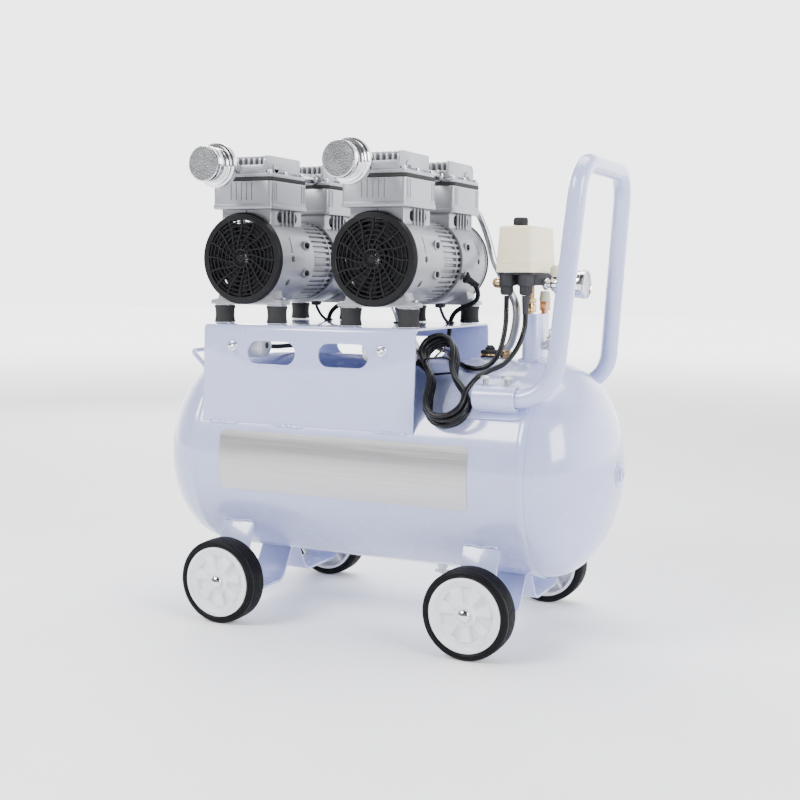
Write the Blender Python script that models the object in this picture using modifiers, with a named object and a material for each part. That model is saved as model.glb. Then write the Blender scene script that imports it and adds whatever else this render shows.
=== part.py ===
"""Twin-pump oil-free air compressor on a wheeled horizontal air tank.

All dimensions below are millimetres, measured from the middle of the tank: X runs
along the tank towards the handle, Y runs to the back, Z is the height above the floor.
Every helper turns them into metres and moves them to the model's origin, which is the
middle of the footprint at floor level.
"""
import math

import bmesh
import bpy
from mathutils import Matrix, Vector

MM = 0.001
GAP = 0.3
ORIGIN = Vector((0.0, -11.0, 0.0))

# Air tank
TANK_RADIUS = 150.0
TANK_WALL = 3.0
TANK_AXIS_Z = 233.0
TANK_SEAM_X = 251.0
DOME_DEPTH = 92.5
PORT_RADIUS = 17.0
PORT_END_X = 349.0
DRAIN_X = 84.5
DRAIN_HOLE_RADIUS = 6.2

# Running gear
WHEEL_X = 191.0
WHEEL_RADIUS = 60.7
WHEEL_OUTER_Y = 180.0
WHEEL_INNER_Y = 144.0
HUB_RADIUS = 50.2
AXLE_RADIUS = 6.0
STRIP_WIDTH = 52.0
STRIP_THICKNESS = 4.0

# Sheet platform over the tank
PLATFORM_LEFT = -238.0
PLATFORM_RIGHT = 98.0
PLATFORM_TOP = 428.7
PLATFORM_SHEET = 3.0
PANEL_TOP_Y = 133.3
PANEL_BOTTOM_Y = 139.3
PANEL_BOTTOM_Z = 288.4
SLOT_CENTRES = (-125.6, -11.0)
SLOT_SIZE = (78.4, 32.8)
SLOT_Z = 389.0
CAPACITOR_CENTRES = (-189.0, 48.0)
CAPACITOR_Y = -105.0
CAPACITOR_Z = 397.6
CAPACITOR_RADIUS = 17.5
CAPACITOR_LENGTH = 75.0

# Pumps
PUMP_X = {"left": -175.3, "right": 32.3}
PUMP_AXIS_Z = 521.6
CASTING_RADIUS = 63.0
CASTING_BORE = 59.0
CASTING_SEAM_Y = 34.3
CASTING_END_Y = 128.0
BEARING_WALL = (42.0, 48.0)
SHAFT_BORE = 6.4
COVER_RADIUS = 65.0
COVER_END_Y = 137.0
NECK_HALF_WIDTH = 41.0
BLOCK_HALF_WIDTH = 49.0
BLOCK_Y = (31.0, 134.6)
BLOCK_Z = (591.5, 630.0)
CYLINDER_Y = 83.0
CYLINDER_BORE = 28.0
HEAD_FLANGE_TOP = 640.4
HEAD_TOP = 666.0
MOUNT_SPREAD = 44.0
MOUNT_Y = 110.0
MOUNT_RADIUS = 15.0
FOOT_BOTTOM = 456.3
FILTER_OFFSET = -14.0
FILTER_Z = 648.6
FILTER_END_Y = 207.0
CABLE_HOLE = (27.0, 74.0)
PIPE_HOLE = (-9.0, 40.0)

# Handle and its bracket
HANDLE_RADIUS = 12.3
SOCKET_Y = 127.5
SOCKET_Z = 342.0
SOCKET_RADIUS = 17.0
SOCKET_BORE = 13.0
SOCKET_X = (182.0, 240.0)
SADDLE_X = (133.0, 250.0)
SADDLE_RADII = (150.3, 153.0)
SADDLE_HALF_ANGLE = 58.0
CLAMP_X = (196.0, 226.0)
HANDLE_TOP_Z = 646.0
HANDLE_TOP_X = 311.0
HANDLE_TOP_Y = 105.0

# Pressure switch group
COLUMN_X = (207.0, 233.0)
COLUMN_Y = (-26.0, 26.0)
COLUMN_TOP = 449.0
SWITCH_CENTRE = (204.0, 0.0)
SWITCH_SIZE = (53.5, 104.0)
SWITCH_Z = (505.6, 568.3)
SWITCH_KNOB = (202.0, -20.0)
GLANDS = ((190.0, -38.0), (217.5, -38.0))
GLAND_BOTTOM = 474.0
OUTLET_Z = 488.0
REGULATOR_X = 252.0
GAUGE_X = (274.0, 293.0)
GAUGE_RADIUS = 19.5
SAFETY_VALVE = (244.0, -8.0)

# Cords
LEAD_RADIUS = 3.5
PIPE_RADIUS = 5.5


# ---------------------------------------------------------------- scene set-up

def clear_scene():
    for thing in list(bpy.data.objects):
        bpy.data.objects.remove(thing, do_unlink=True)


def new_collection(name):
    collection = bpy.data.collections.new(name)
    bpy.context.scene.collection.children.link(collection)
    return collection


clear_scene()
PARTS = new_collection("air_compressor")
CUTTERS = new_collection("cutters")
CUTTERS.hide_render = True

COLOURS = {
    "lavender_paint": ((0.62, 0.65, 0.80), 0.28, 0.0),
    "cast_aluminium": ((0.58, 0.58, 0.60), 0.42, 0.85),
    "black_plastic": ((0.02, 0.02, 0.022), 0.45, 0.0),
    "black_rubber": ((0.015, 0.015, 0.015), 0.7, 0.0),
    "tyre_rubber": ((0.02, 0.02, 0.021), 0.75, 0.0),
    "white_plastic": ((0.85, 0.86, 0.88), 0.4, 0.0),
    "ivory_plastic": ((0.83, 0.79, 0.66), 0.45, 0.0),
    "chrome": ((0.80, 0.80, 0.82), 0.12, 1.0),
    "bright_steel": ((0.62, 0.62, 0.63), 0.3, 1.0),
    "dark_steel": ((0.25, 0.25, 0.27), 0.45, 1.0),
    "cord_rubber": ((0.012, 0.012, 0.013), 0.4, 0.0),
}


def material(name):
    found = bpy.data.materials.get(name)
    if found:
        return found
    colour, roughness, metallic = COLOURS[name]
    made = bpy.data.materials.new(name)
    made.use_nodes = True
    shader = made.node_tree.nodes["Principled BSDF"]
    shader.inputs["Base Color"].default_value = (*colour, 1.0)
    shader.inputs["Roughness"].default_value = roughness
    shader.inputs["Metallic"].default_value = metallic
    return made


# ---------------------------------------------------------------- shape helpers

TURNS = {
    "Z": (0.0, 0.0, 0.0),
    "X": (0.0, math.pi / 2, 0.0),
    "front": (math.pi / 2, 0.0, 0.0),
    "back": (-math.pi / 2, 0.0, 0.0),
}
FLAT_TURNS = {
    "XZ": (math.pi / 2, 0.0, 0.0),
    "YZ": (math.pi / 2, 0.0, math.pi / 2),
}


def place(point):
    return (Vector(point) - ORIGIN) * MM


def finish_object(name, data, slot, at, turn=(0.0, 0.0, 0.0)):
    thing = bpy.data.objects.new(name, data)
    thing.location = place(at)
    thing.rotation_euler = turn
    data.materials.append(material(slot))
    PARTS.objects.link(thing)
    return thing


def mesh_object(name, shape, slot, at, turn=(0.0, 0.0, 0.0)):
    mesh = bpy.data.meshes.new(name)
    shape.to_mesh(mesh)
    shape.free()
    return finish_object(name, mesh, slot, at, turn)


def box(name, slot, low, high, bevel=0.0, segments=1):
    """A block between two corners, its edges rounded by bevel."""
    low, high = Vector(low), Vector(high)
    shape = bmesh.new()
    bmesh.ops.create_cube(shape, size=1.0)
    bmesh.ops.scale(shape, vec=(high - low) * MM, verts=shape.verts)
    thing = mesh_object(name, shape, slot, (low + high) / 2)
    if bevel:
        round_edges(thing, bevel, segments)
    return thing


def round_edges(thing, width, segments=1, angle=30.0):
    modifier = thing.modifiers.new("Bevel", "BEVEL")
    modifier.width = width * MM
    modifier.segments = segments
    modifier.limit_method = "ANGLE"
    modifier.angle_limit = math.radians(angle)


def rod(name, slot, radius, low, high, at, axis="Z", segments=16):
    """A cylinder about an axis through the point at, between two distances along it."""
    shape = bmesh.new()
    bmesh.ops.create_cone(shape, cap_ends=True, segments=segments, radius1=radius * MM,
                          radius2=radius * MM, depth=(high - low) * MM)
    bmesh.ops.translate(shape, vec=(0, 0, (low + high) / 2 * MM), verts=shape.verts)
    return smooth(mesh_object(name, shape, slot, at, TURNS[axis]))


def turned(name, slot, profile, at, axis="Z", segments=24, closed=False):
    """A profile of (radius, height) pairs, top to bottom down its outer side, spun round."""
    shape = bmesh.new()
    points = [shape.verts.new((radius * MM, 0, height * MM)) for radius, height in profile]
    for start, end in zip(points, points[1:]):
        shape.edges.new((start, end))
    if closed:
        shape.edges.new((points[-1], points[0]))
    thing = mesh_object(name, shape, slot, at, TURNS[axis])
    screw = thing.modifiers.new("Screw", "SCREW")
    screw.steps = screw.render_steps = segments
    screw.use_merge_vertices = True
    screw.merge_threshold = 0.00001
    screw.use_smooth_shade = True
    return thing


def smooth(thing, angle=35.0):
    thing.data.shade_smooth()
    thing.data.set_sharp_from_angle(angle=math.radians(angle))
    return thing


def as_mesh(curve_object):
    """The welded mesh of a curve object, in its place."""
    graph = bpy.context.evaluated_depsgraph_get()
    mesh = bpy.data.meshes.new_from_object(curve_object.evaluated_get(graph))
    shape = bmesh.new()
    shape.from_mesh(mesh)
    bmesh.ops.remove_doubles(shape, verts=shape.verts, dist=0.000005)
    shape.to_mesh(mesh)
    shape.free()
    name = curve_object.name
    thing = bpy.data.objects.new(name + "_mesh", mesh)
    thing.matrix_world = curve_object.matrix_world.copy()
    PARTS.objects.link(thing)
    bpy.data.objects.remove(curve_object, do_unlink=True)
    thing.name = name
    return thing


def plate(name, slot, outlines, thickness, at, plane="XZ", turn=None):
    """A flat outline, with any holes as further outlines, given a thickness about its plane."""
    curve = bpy.data.curves.new(name, "CURVE")
    curve.dimensions = "2D"
    curve.fill_mode = "BOTH"
    curve.extrude = thickness / 2 * MM
    for outline in outlines:
        spline = curve.splines.new("POLY")
        spline.points.add(len(outline) - 1)
        for point, (across, up) in zip(spline.points, outline):
            point.co = (across * MM, up * MM, 0, 1)
        spline.use_cyclic_u = True
    thing = finish_object(name, curve, slot, at, turn or FLAT_TURNS[plane])
    bpy.context.view_layer.update()
    return as_mesh(thing)


def tube(name, slot, points, radius, resolution=2):
    """A round bar, pipe or cable along a list of points."""
    curve = bpy.data.curves.new(name, "CURVE")
    curve.dimensions = "3D"
    curve.bevel_depth = radius * MM
    curve.bevel_resolution = resolution
    curve.use_fill_caps = True
    spline = curve.splines.new("POLY")
    spline.points.add(len(points) - 1)
    start = Vector(points[0])
    for point, place_on_route in zip(spline.points, points):
        point.co = (*((Vector(place_on_route) - start) * MM), 1)
    return finish_object(name, curve, slot, start)


def mesh_tube(name, slot, points, radius, resolution=2):
    thing = tube(name, slot, points, radius, resolution)
    bpy.context.view_layer.update()
    return as_mesh(thing)


def strip(name, slot, path, left, right, thickness):
    """Sheet metal bent along a path of (y, z) points and wide in X."""
    shape = bmesh.new()
    half = (right - left) / 2 * MM
    rows = [[shape.verts.new((side * half, y * MM, z * MM)) for side in (-1, 1)]
            for y, z in path]
    for (near_left, near_right), (far_left, far_right) in zip(rows, rows[1:]):
        shape.faces.new((near_left, near_right, far_right, far_left))
    thing = mesh_object(name, shape, slot, ((left + right) / 2, 0, 0))
    solidify = thing.modifiers.new("Solidify", "SOLIDIFY")
    solidify.thickness = thickness * MM
    solidify.offset = 0.0
    solidify.use_even_offset = True
    return thing


def put_away(tool):
    tool.hide_render = True
    tool.display_type = "WIRE"
    PARTS.objects.unlink(tool)
    CUTTERS.objects.link(tool)


def combine(target, tools, operation):
    for tool in tools:
        modifier = target.modifiers.new(operation.title(), "BOOLEAN")
        modifier.operation = operation
        modifier.solver = "EXACT"
        modifier.object = tool
        put_away(tool)
    return target


def fuse(target, *tools):
    return combine(target, tools, "UNION")


def cut(target, *tools):
    return combine(target, tools, "DIFFERENCE")


# ---------------------------------------------------------------- outline helpers

def arc(radius, start, end, steps, centre=(0.0, 0.0)):
    """Points on a circle from one angle to another, in degrees."""
    angles = [math.radians(start + (end - start) * i / steps) for i in range(steps + 1)]
    return [(centre[0] + radius * math.cos(a), centre[1] + radius * math.sin(a)) for a in angles]


def circle(radius, steps, centre=(0.0, 0.0)):
    return arc(radius, 0, 360, steps, centre)[:-1]


def obround(width, height, steps=5, centre=(0.0, 0.0)):
    """A slot outline with round ends, longer across than up, or the other way round."""
    radius = min(width, height) / 2
    reach = max(width, height) / 2 - radius
    points = arc(radius, -90, 90, steps, (reach, 0)) + arc(radius, 90, 270, steps, (-reach, 0))
    if height > width:
        points = [(-up, across) for across, up in points]
    return [(centre[0] + across, centre[1] + up) for across, up in points]


def fillet(points, radii, steps):
    """A path whose inner corners are rounded, each with its own radius."""
    path = [Vector(point) for point in points]
    rounded = [path[0]]
    for before, corner, after, radius in zip(path, path[1:], path[2:], radii):
        to_before = (before - corner).normalized()
        to_after = (after - corner).normalized()
        half_angle = to_before.angle(to_after) / 2
        reach = radius / math.tan(half_angle)
        centre = corner + (to_before + to_after).normalized() * radius / math.sin(half_angle)
        start = corner + to_before * reach - centre
        end = corner + to_after * reach - centre
        sweep = start.angle(end)
        for i in range(steps + 1):
            t = i / steps
            blend = (start * math.sin((1 - t) * sweep) + end * math.sin(t * sweep))
            rounded.append(centre + blend / math.sin(sweep))
    rounded.append(path[-1])
    return rounded


def smooth_route(points, spacing):
    """Points every spacing along a Catmull-Rom curve, its first and last stretches straight."""
    path = [Vector(point) for point in points]
    fine = []
    for p0, p1, p2, p3 in zip(path, path[1:], path[2:], path[3:]):
        for i in range(20):
            t = i / 20
            fine.append(0.5 * (2 * p1 + (p2 - p0) * t + (2 * p0 - 5 * p1 + 4 * p2 - p3) * t ** 2
                               + (3 * p1 - p0 - 3 * p2 + p3) * t ** 3))
    fine.append(path[-2])
    lengths = [0.0]
    for start, end in zip(fine, fine[1:]):
        lengths.append(lengths[-1] + (end - start).length)
    count = max(2, round(lengths[-1] / spacing))
    route, index = [path[0]], 0
    for i in range(count):
        target = lengths[-1] * i / count
        while lengths[index + 1] < target:
            index += 1
        t = (target - lengths[index]) / (lengths[index + 1] - lengths[index])
        route.append(fine[index].lerp(fine[index + 1], t))
    return route + [path[-2], path[-1]]


# ---------------------------------------------------------------- tank and frame

def dome(radius, depth, seam, angles):
    return [(radius * math.sin(math.radians(a)), seam + depth * math.cos(math.radians(a)))
            for a in angles]


def mirrored(profile):
    return profile + [(radius, -height) for radius, height in reversed(profile)]


def lifting_loop():
    """The bent rod welded on the left dome to lift that end by."""
    reach = 50.0
    corners = [(-286, -reach, 350), (-320, -reach, 382), (-320, reach, 382), (-286, reach, 350)]
    return mesh_tube("lifting_loop", "lavender_paint", fillet(corners, (9, 9), 4), 3.5, 1)


def make_tank():
    outer = [(0, PORT_END_X), (PORT_RADIUS - 1.5, PORT_END_X), (PORT_RADIUS, PORT_END_X - 1.5),
             (PORT_RADIUS, 342.5)]
    outer += dome(TANK_RADIUS, DOME_DEPTH, TANK_SEAM_X, (17, 31, 45, 59, 74, 90))
    tank = turned("tank", "lavender_paint", mirrored(outer), (0, 0, TANK_AXIS_Z), "X", 32)
    inner = dome(TANK_RADIUS - TANK_WALL, DOME_DEPTH - TANK_WALL, TANK_SEAM_X, (0, 32, 62, 90))
    hollow = turned("tank_hollow", "lavender_paint", mirrored(inner), (0, 0, TANK_AXIS_Z), "X", 32)
    drain_hole = rod("drain_hole", "lavender_paint", DRAIN_HOLE_RADIUS, 70, 100, (DRAIN_X, 0, 0))
    fuse(tank, lifting_loop())
    cut(tank, hollow, drain_hole)


def axle(side):
    """A stub axle with its spacer collar and domed cap nut."""
    profile = [(0, 185), (5.5, 184.0), (9.5, 180.4), (9.5, 178.3),
               (AXLE_RADIUS, 178.3), (AXLE_RADIUS, 144.2), (9.0, 144.2), (9.0, 136.0), (0, 136.0)]
    return profile, "front" if side < 0 else "back"


def make_foot_bracket(name, x):
    """A strip bent into two troughs under the tank, with a stub axle at each end."""
    half = [(-118.5, 139.0), (-130.5, 106.0), (-137.0, 78.0), (-137.0, 36.0), (-37.0, 36.0),
            (-10.0, 80.6)]
    corners = half + [(-y, z) for y, z in reversed(half)]
    path = fillet([(y, z, 0) for y, z in corners], (25, 25, 14, 22, 6, 6, 22, 14, 25, 25), 3)
    bracket = strip(name, "lavender_paint", [(p.x, p.y) for p in path],
                    x - STRIP_WIDTH / 2, x + STRIP_WIDTH / 2, STRIP_THICKNESS)
    for side in (-1, 1):
        profile, axis = axle(side)
        fuse(bracket, turned(f"{name}_axle", "chrome", profile, (x, 0, WHEEL_RADIUS), axis, 12))


def make_wheel(end, side, x, axis):
    hub_rim = HUB_RADIUS - 4.2
    hub = [(HUB_RADIUS, 179.2), (HUB_RADIUS, 144.8), (hub_rim, 144.8), (hub_rim, 164),
           (14, 164), (14, 144.8), (6.4, 144.8), (6.4, 177.8), (14, 177.8), (14, 172),
           (hub_rim, 172), (hub_rim, 179.2)]
    tyre = [(52.5, WHEEL_OUTER_Y), (57.5, 179.0), (WHEEL_RADIUS, 175.0), (WHEEL_RADIUS, 149.0),
            (57.5, 145.0), (52.5, WHEEL_INNER_Y), (50.6, 145.5), (50.6, 178.5)]
    centre = (x, 0, WHEEL_RADIUS)
    turned(f"tyre_{side}_{end}", "tyre_rubber", tyre, centre, axis, 20, closed=True)
    turned(f"hub_{side}_{end}", "white_plastic", hub, centre, axis, 20, closed=True)


def make_running_gear():
    for end, x in (("left", -WHEEL_X), ("right", WHEEL_X)):
        make_foot_bracket(f"foot_bracket_{end}", x)
        for side, axis in (("front", "front"), ("rear", "back")):
            make_wheel(end, side, x, axis)


def make_platform():
    """An inverted channel of sheet steel, slotted and drilled, welded over the tank."""
    top = PLATFORM_TOP - PLATFORM_SHEET / 2
    corners = [(-PANEL_BOTTOM_Y, PANEL_BOTTOM_Z, 0), (-PANEL_TOP_Y, top, 0), (PANEL_TOP_Y, top, 0),
               (PANEL_BOTTOM_Y, PANEL_BOTTOM_Z, 0)]
    path = [(p.x, p.y) for p in fillet(corners, (8, 8), 4)]
    platform = strip("pump_platform", "lavender_paint", path, PLATFORM_LEFT, PLATFORM_RIGHT,
                     PLATFORM_SHEET)
    for index, x in enumerate(SLOT_CENTRES):
        slot = obround(*SLOT_SIZE, steps=5)
        cut(platform, plate(f"slot_{index}", "lavender_paint", [slot], 320, (x, 0, SLOT_Z)))
    for index, x in enumerate(CAPACITOR_CENTRES):
        cut(platform, rod(f"stud_hole_{index}", "lavender_paint", 3.4, 125, 150,
                          (x, 0, CAPACITOR_Z), "front", 8))
    holes = [(x + CABLE_HOLE[0], CABLE_HOLE[1], LEAD_RADIUS + 2.0) for x in PUMP_X.values()]
    holes.append((*PIPE_HOLE, PIPE_RADIUS + 2.0))
    for index, (x, y, radius) in enumerate(holes):
        cut(platform, rod(f"top_hole_{index}", "lavender_paint", radius, 420, 435, (x, y, 0),
                          "Z", 10))
    cut(platform, rod("tank_line", "lavender_paint", TANK_RADIUS + GAP, -300, 300,
                      (0, 0, TANK_AXIS_Z), "X", 64))


def make_capacitors():
    """Run capacitors behind the front panel, each held by a stud and an acorn nut."""
    half = CAPACITOR_LENGTH / 2
    can = [(0, half), (14, half), (14, half - 3), (CAPACITOR_RADIUS, half - 3),
           (CAPACITOR_RADIUS, -half + 2), (CAPACITOR_RADIUS - 2, -half), (0, -half)]
    stud = [(0, 146), (4, 145), (6.6, 141.5), (6.6, 136.8), (3, 136.8), (3, 110), (0, 110)]
    for end, x in zip(("left", "right"), CAPACITOR_CENTRES):
        capacitor = turned(f"capacitor_{end}", "white_plastic", can,
                           (x, CAPACITOR_Y, CAPACITOR_Z), "X", 14)
        fuse(capacitor, turned(f"stud_{end}", "chrome", stud, (x, 0, CAPACITOR_Z), "front", 8))


# ---------------------------------------------------------------- pumps

def make_casting(side, x, face):
    """One end casting: crankcase, neck, cylinder block and the two feet, in one piece."""
    name = f"pump_{side}_{face}_casting"
    axis, sign = ("front", -1) if face == "front" else ("back", 1)

    def span(near, far):
        return sorted((sign * near, sign * far))

    centre = (x, 0, PUMP_AXIS_Z)
    metal = "cast_aluminium"
    casting = rod(name, metal, CASTING_RADIUS, CASTING_SEAM_Y, CASTING_END_Y, centre, axis, 28)
    neck_y, block_y = span(35, 122), span(*BLOCK_Y)
    neck = box(f"{name}_neck", metal, (x - NECK_HALF_WIDTH, neck_y[0], 565),
               (x + NECK_HALF_WIDTH, neck_y[1], BLOCK_Z[0] + 1))
    block = box(f"{name}_block", metal, (x - BLOCK_HALF_WIDTH, block_y[0], BLOCK_Z[0]),
                (x + BLOCK_HALF_WIDTH, block_y[1], BLOCK_Z[1]), 3.0, 1)
    foot_y = span(97, 124)
    web_outline = [(-59, FOOT_BOTTOM - PUMP_AXIS_Z), (59, FOOT_BOTTOM - PUMP_AXIS_Z), (59, -59.6),
                   (47, -57), (38, -20), (-38, -20), (-47, -57), (-59, -59.6)]
    web = plate(f"{name}_web", metal, [web_outline], foot_y[1] - foot_y[0],
                (x, sum(foot_y) / 2, PUMP_AXIS_Z))
    fuse(casting, neck, block, web)
    chambers = [rod(f"{name}_fan_chamber", metal, CASTING_BORE, BEARING_WALL[1],
                    CASTING_END_Y + 1, centre, axis, 20),
                rod(f"{name}_motor_chamber", metal, CASTING_BORE, CASTING_SEAM_Y - 1,
                    BEARING_WALL[0], centre, axis, 20),
                rod(f"{name}_shaft_bore", metal, SHAFT_BORE, 30, 60, centre, axis, 12)]
    neck_hollow_y = span(50, 114)
    neck_hollow = box(f"{name}_neck_hollow", metal, (x - 35, neck_hollow_y[0], 560),
                      (x + 35, neck_hollow_y[1], 588.5))
    cylinder = rod(f"{name}_cylinder", metal, CYLINDER_BORE, 580, 640,
                   (x, sign * CYLINDER_Y, 0), "Z", 16)
    vents = plate(f"{name}_vents", metal, [obround(56, 15, 4)], 200,
                  (x, sign * 77, 580.5), "YZ")
    windows = [plate(f"{name}_window_{i}", metal, [obround(12.5, 7, 3)], 200,
                     (x, sign * 55.5, PUMP_AXIS_Z + dz), "YZ") for i, dz in enumerate((-20, 20))]
    holes = [rod(f"{name}_hole_{i}", metal, 4.2, -80, 80, (x, sign * 96, PUMP_AXIS_Z + dz), "X", 8)
             for i, dz in enumerate((0, -33))]
    cut(casting, *chambers, neck_hollow, cylinder, vents, *windows, *holes)
    return casting


def grille_outlines(radius):
    """A round cover with wedge openings between its spokes."""
    openings = []
    for index in range(8):
        start = index * 45.0
        inner = arc(17, start + 36, start + 6, 1)
        openings.append(arc(radius - 11, start + 3, start + 41, 3) + inner)
    return [circle(radius, 28)] + openings


def make_rear_casting(side, x):
    casting = make_casting(side, x, "rear")
    thickness = COVER_END_Y - CASTING_END_Y + 1
    grille = plate(f"pump_{side}_rear_grille", "black_plastic", grille_outlines(COVER_RADIUS),
                   thickness, (x, COVER_END_Y - thickness / 2, PUMP_AXIS_Z))
    fuse(casting, grille)


def make_fan_cover(side, x):
    thickness = COVER_END_Y - CASTING_END_Y - GAP
    plate(f"pump_{side}_fan_cover", "black_plastic", grille_outlines(COVER_RADIUS), thickness,
          (x, -COVER_END_Y + thickness / 2, PUMP_AXIS_Z))


def make_stator(side, x):
    """The motor housing between the castings, with cooling fins along it."""
    fins = 20
    tip, root = 59.0, 55.5
    pitch = 360.0 / fins
    outline = []
    for index in range(fins):
        start = index * pitch
        outline += arc(root, start, start + pitch * 0.45, 1) + arc(tip, start + pitch * 0.55,
                                                                   start + pitch * 0.9, 1)
    length = 2 * (CASTING_SEAM_Y - GAP)
    plate(f"pump_{side}_stator", "cast_aluminium", [outline, circle(41.0, 20)], length,
          (x, 0, PUMP_AXIS_Z))


def make_rotor(side, x):
    """Shaft, rotor core and the two cooling fans, turning together."""
    half = [(0, 125), (AXLE_RADIUS, 125), (AXLE_RADIUS, 119), (52, 119), (52, 108),
            (AXLE_RADIUS, 108), (AXLE_RADIUS, 32), (39.0, 32)]
    turned(f"pump_{side}_rotor", "dark_steel", mirrored(half), (x, 0, PUMP_AXIS_Z), "front", 16)


def head_section():
    """The finned head seen from the front: flange, box and cooling fins."""
    flange_low, flange_top = BLOCK_Z[1] + GAP, HEAD_FLANGE_TOP
    fin_root, fin_top, side_top = 653.0, 664.5, HEAD_TOP
    outline = [(-47.5, flange_low), (47.5, flange_low), (47.5, flange_top), (38, flange_top),
               (38, side_top), (34, side_top)]
    pitch, fin = 9.7, 4.6
    for index in range(6, -1, -1):
        middle = (index - 3) * pitch
        outline += [(middle + fin / 2, fin_root), (middle + fin / 2, fin_top),
                    (middle - fin / 2, fin_top), (middle - fin / 2, fin_root)]
    return outline[:6] + [(34, fin_root)] + outline[6:] + [(-34, fin_root), (-34, side_top),
                                                         (-38, side_top), (-38, flange_top),
                                                         (-47.5, flange_top)]


def make_heads(side, x):
    length = 96.0
    for face, sign in (("front", -1), ("rear", 1)):
        name = f"pump_{side}_{face}_head"
        head = plate(name, "cast_aluminium", [head_section()], length, (x, sign * CYLINDER_Y, 0))
        if face == "rear":
            reach = CYLINDER_Y - length / 2
            fuse(head, rod(f"{name}_crossover", "bright_steel", 6.3, -reach + GAP, reach + 2,
                           (x + 24, 0, 643.5), "back", 12))


def make_intake_filter(side, x):
    """The silencer on the front head: cap, flanges, cone and neck."""
    profile = [(0, FILTER_END_Y), (23, FILTER_END_Y), (24.4, 205.2), (24.4, 186), (22.5, 184),
               (28, 184), (28, 179), (30.7, 177), (30.7, 168), (11, 148), (10, 131.3),
               (0, 131.3)]
    turned(f"pump_{side}_intake_filter", "chrome", profile, (x + FILTER_OFFSET, 0, FILTER_Z),
           "front", 20)


def make_mounts(side, x):
    bottom, top = PLATFORM_TOP + GAP, FOOT_BOTTOM - GAP
    middle = (bottom + top) / 2
    profile = [(0, top), (MOUNT_RADIUS, top), (MOUNT_RADIUS - 0.8, middle),
               (MOUNT_RADIUS, bottom), (0, bottom)]
    corners = [(-1, -1), (1, -1), (-1, 1), (1, 1)]
    for index, (right, back) in enumerate(corners, 1):
        turned(f"mount_{side}_{index}", "black_rubber", profile,
               (x + right * MOUNT_SPREAD, back * MOUNT_Y, 0), "Z", 12)


def make_pumps():
    for side, x in PUMP_X.items():
        make_casting(side, x, "front")
        make_rear_casting(side, x)
        make_stator(side, x)
        make_rotor(side, x)
        make_fan_cover(side, x)
        make_heads(side, x)
        make_intake_filter(side, x)
        make_mounts(side, x)


# ---------------------------------------------------------------- handle

def make_handle_bracket():
    """A saddle plate on the tank with the two sockets that the handle slides into."""
    inner, outer = SADDLE_RADII
    start, end = 90 - SADDLE_HALF_ANGLE, 90 + SADDLE_HALF_ANGLE
    outline = arc(outer, start, end, 12) + arc(inner + 0.7, end, start, 12)
    bracket = plate("handle_bracket", "lavender_paint", [outline], SADDLE_X[1] - SADDLE_X[0],
                    (sum(SADDLE_X) / 2, 0, TANK_AXIS_Z), "YZ")
    for side in (-1, 1):
        at = (0, side * SOCKET_Y, SOCKET_Z)
        fuse(bracket, rod(f"socket_{side}", "lavender_paint", SOCKET_RADIUS, *SOCKET_X, at, "X", 16))
    for side in (-1, 1):
        at = (0, side * SOCKET_Y, SOCKET_Z)
        cut(bracket, rod(f"socket_bore_{side}", "lavender_paint", SOCKET_BORE, SOCKET_X[0] + 4,
                         SOCKET_X[1] + 5, at, "X", 16))
        for x in CLAMP_X:
            cut(bracket, rod(f"clamp_hole_{side}_{x}", "lavender_paint", 4.4, 345, 365,
                             (x, side * SOCKET_Y, 0), "Z", 8))


def make_handle():
    start = SOCKET_X[0] + 5
    corner_x = 287.0
    half = [(start, -SOCKET_Y, SOCKET_Z), (corner_x, -SOCKET_Y, SOCKET_Z),
            (HANDLE_TOP_X, -HANDLE_TOP_Y, HANDLE_TOP_Z)]
    corners = half + [(x, -y, z) for x, y, z in reversed(half)]
    tube("handle", "lavender_paint", fillet(corners, (52, 42, 42, 52), 6), HANDLE_RADIUS, 2)


def make_clamp_screws():
    top = SOCKET_Z + SOCKET_RADIUS
    profile = [(0, top + 12), (6.4, top + 12), (7.2, top + 10.5), (7.2, top + 7), (4, top + 6),
               (4, SOCKET_Z + HANDLE_RADIUS + GAP), (0, SOCKET_Z + HANDLE_RADIUS + GAP)]
    places = [(x, side * SOCKET_Y, 0) for side in (-1, 1) for x in CLAMP_X]
    for index, at in enumerate(places, 1):
        turned(f"clamp_screw_{index}", "bright_steel", profile, at, "Z", 8)


# ---------------------------------------------------------------- switch and air outlet

def make_column():
    """The welded riser, its switch nipple, the plugged port beside it and the valve body."""
    x_middle = sum(COLUMN_X) / 2
    column = box("manifold_column", "lavender_paint", (COLUMN_X[0], COLUMN_Y[0], 378),
                 (COLUMN_X[1], COLUMN_Y[1], COLUMN_TOP), 2.0, 2)
    nipple = [(0, 487.7), (6, 487.7), (6, 462.5), (9.3, 462.5), (9.3, 451.5), (6.5, 451.5),
              (6.5, 445), (0, 445)]
    port = [(0, 480), (6.5, 480), (8, 468), (7.2, 466), (7.2, 454), (5, 453), (5, 445), (0, 445)]
    elbow = rod("valve_elbow", "bright_steel", 4.5, COLUMN_X[1] - 3, SAFETY_VALVE[0],
                (0, SAFETY_VALVE[1], 406), "X", 10)
    body = rod("valve_body", "bright_steel", 6, 400, 414, (*SAFETY_VALVE, 0), "Z", 12)
    fuse(column, turned("switch_nipple", "chrome", nipple, (x_middle - 8, -4, 0), "Z", 12),
         turned("second_port", "chrome", port, (x_middle + 7, 16, 0), "Z", 12), elbow, body)
    cut(column, rod("column_seat", "lavender_paint", SADDLE_RADII[1] + GAP, 150, 300,
                    (0, 0, TANK_AXIS_Z), "X", 96))


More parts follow.
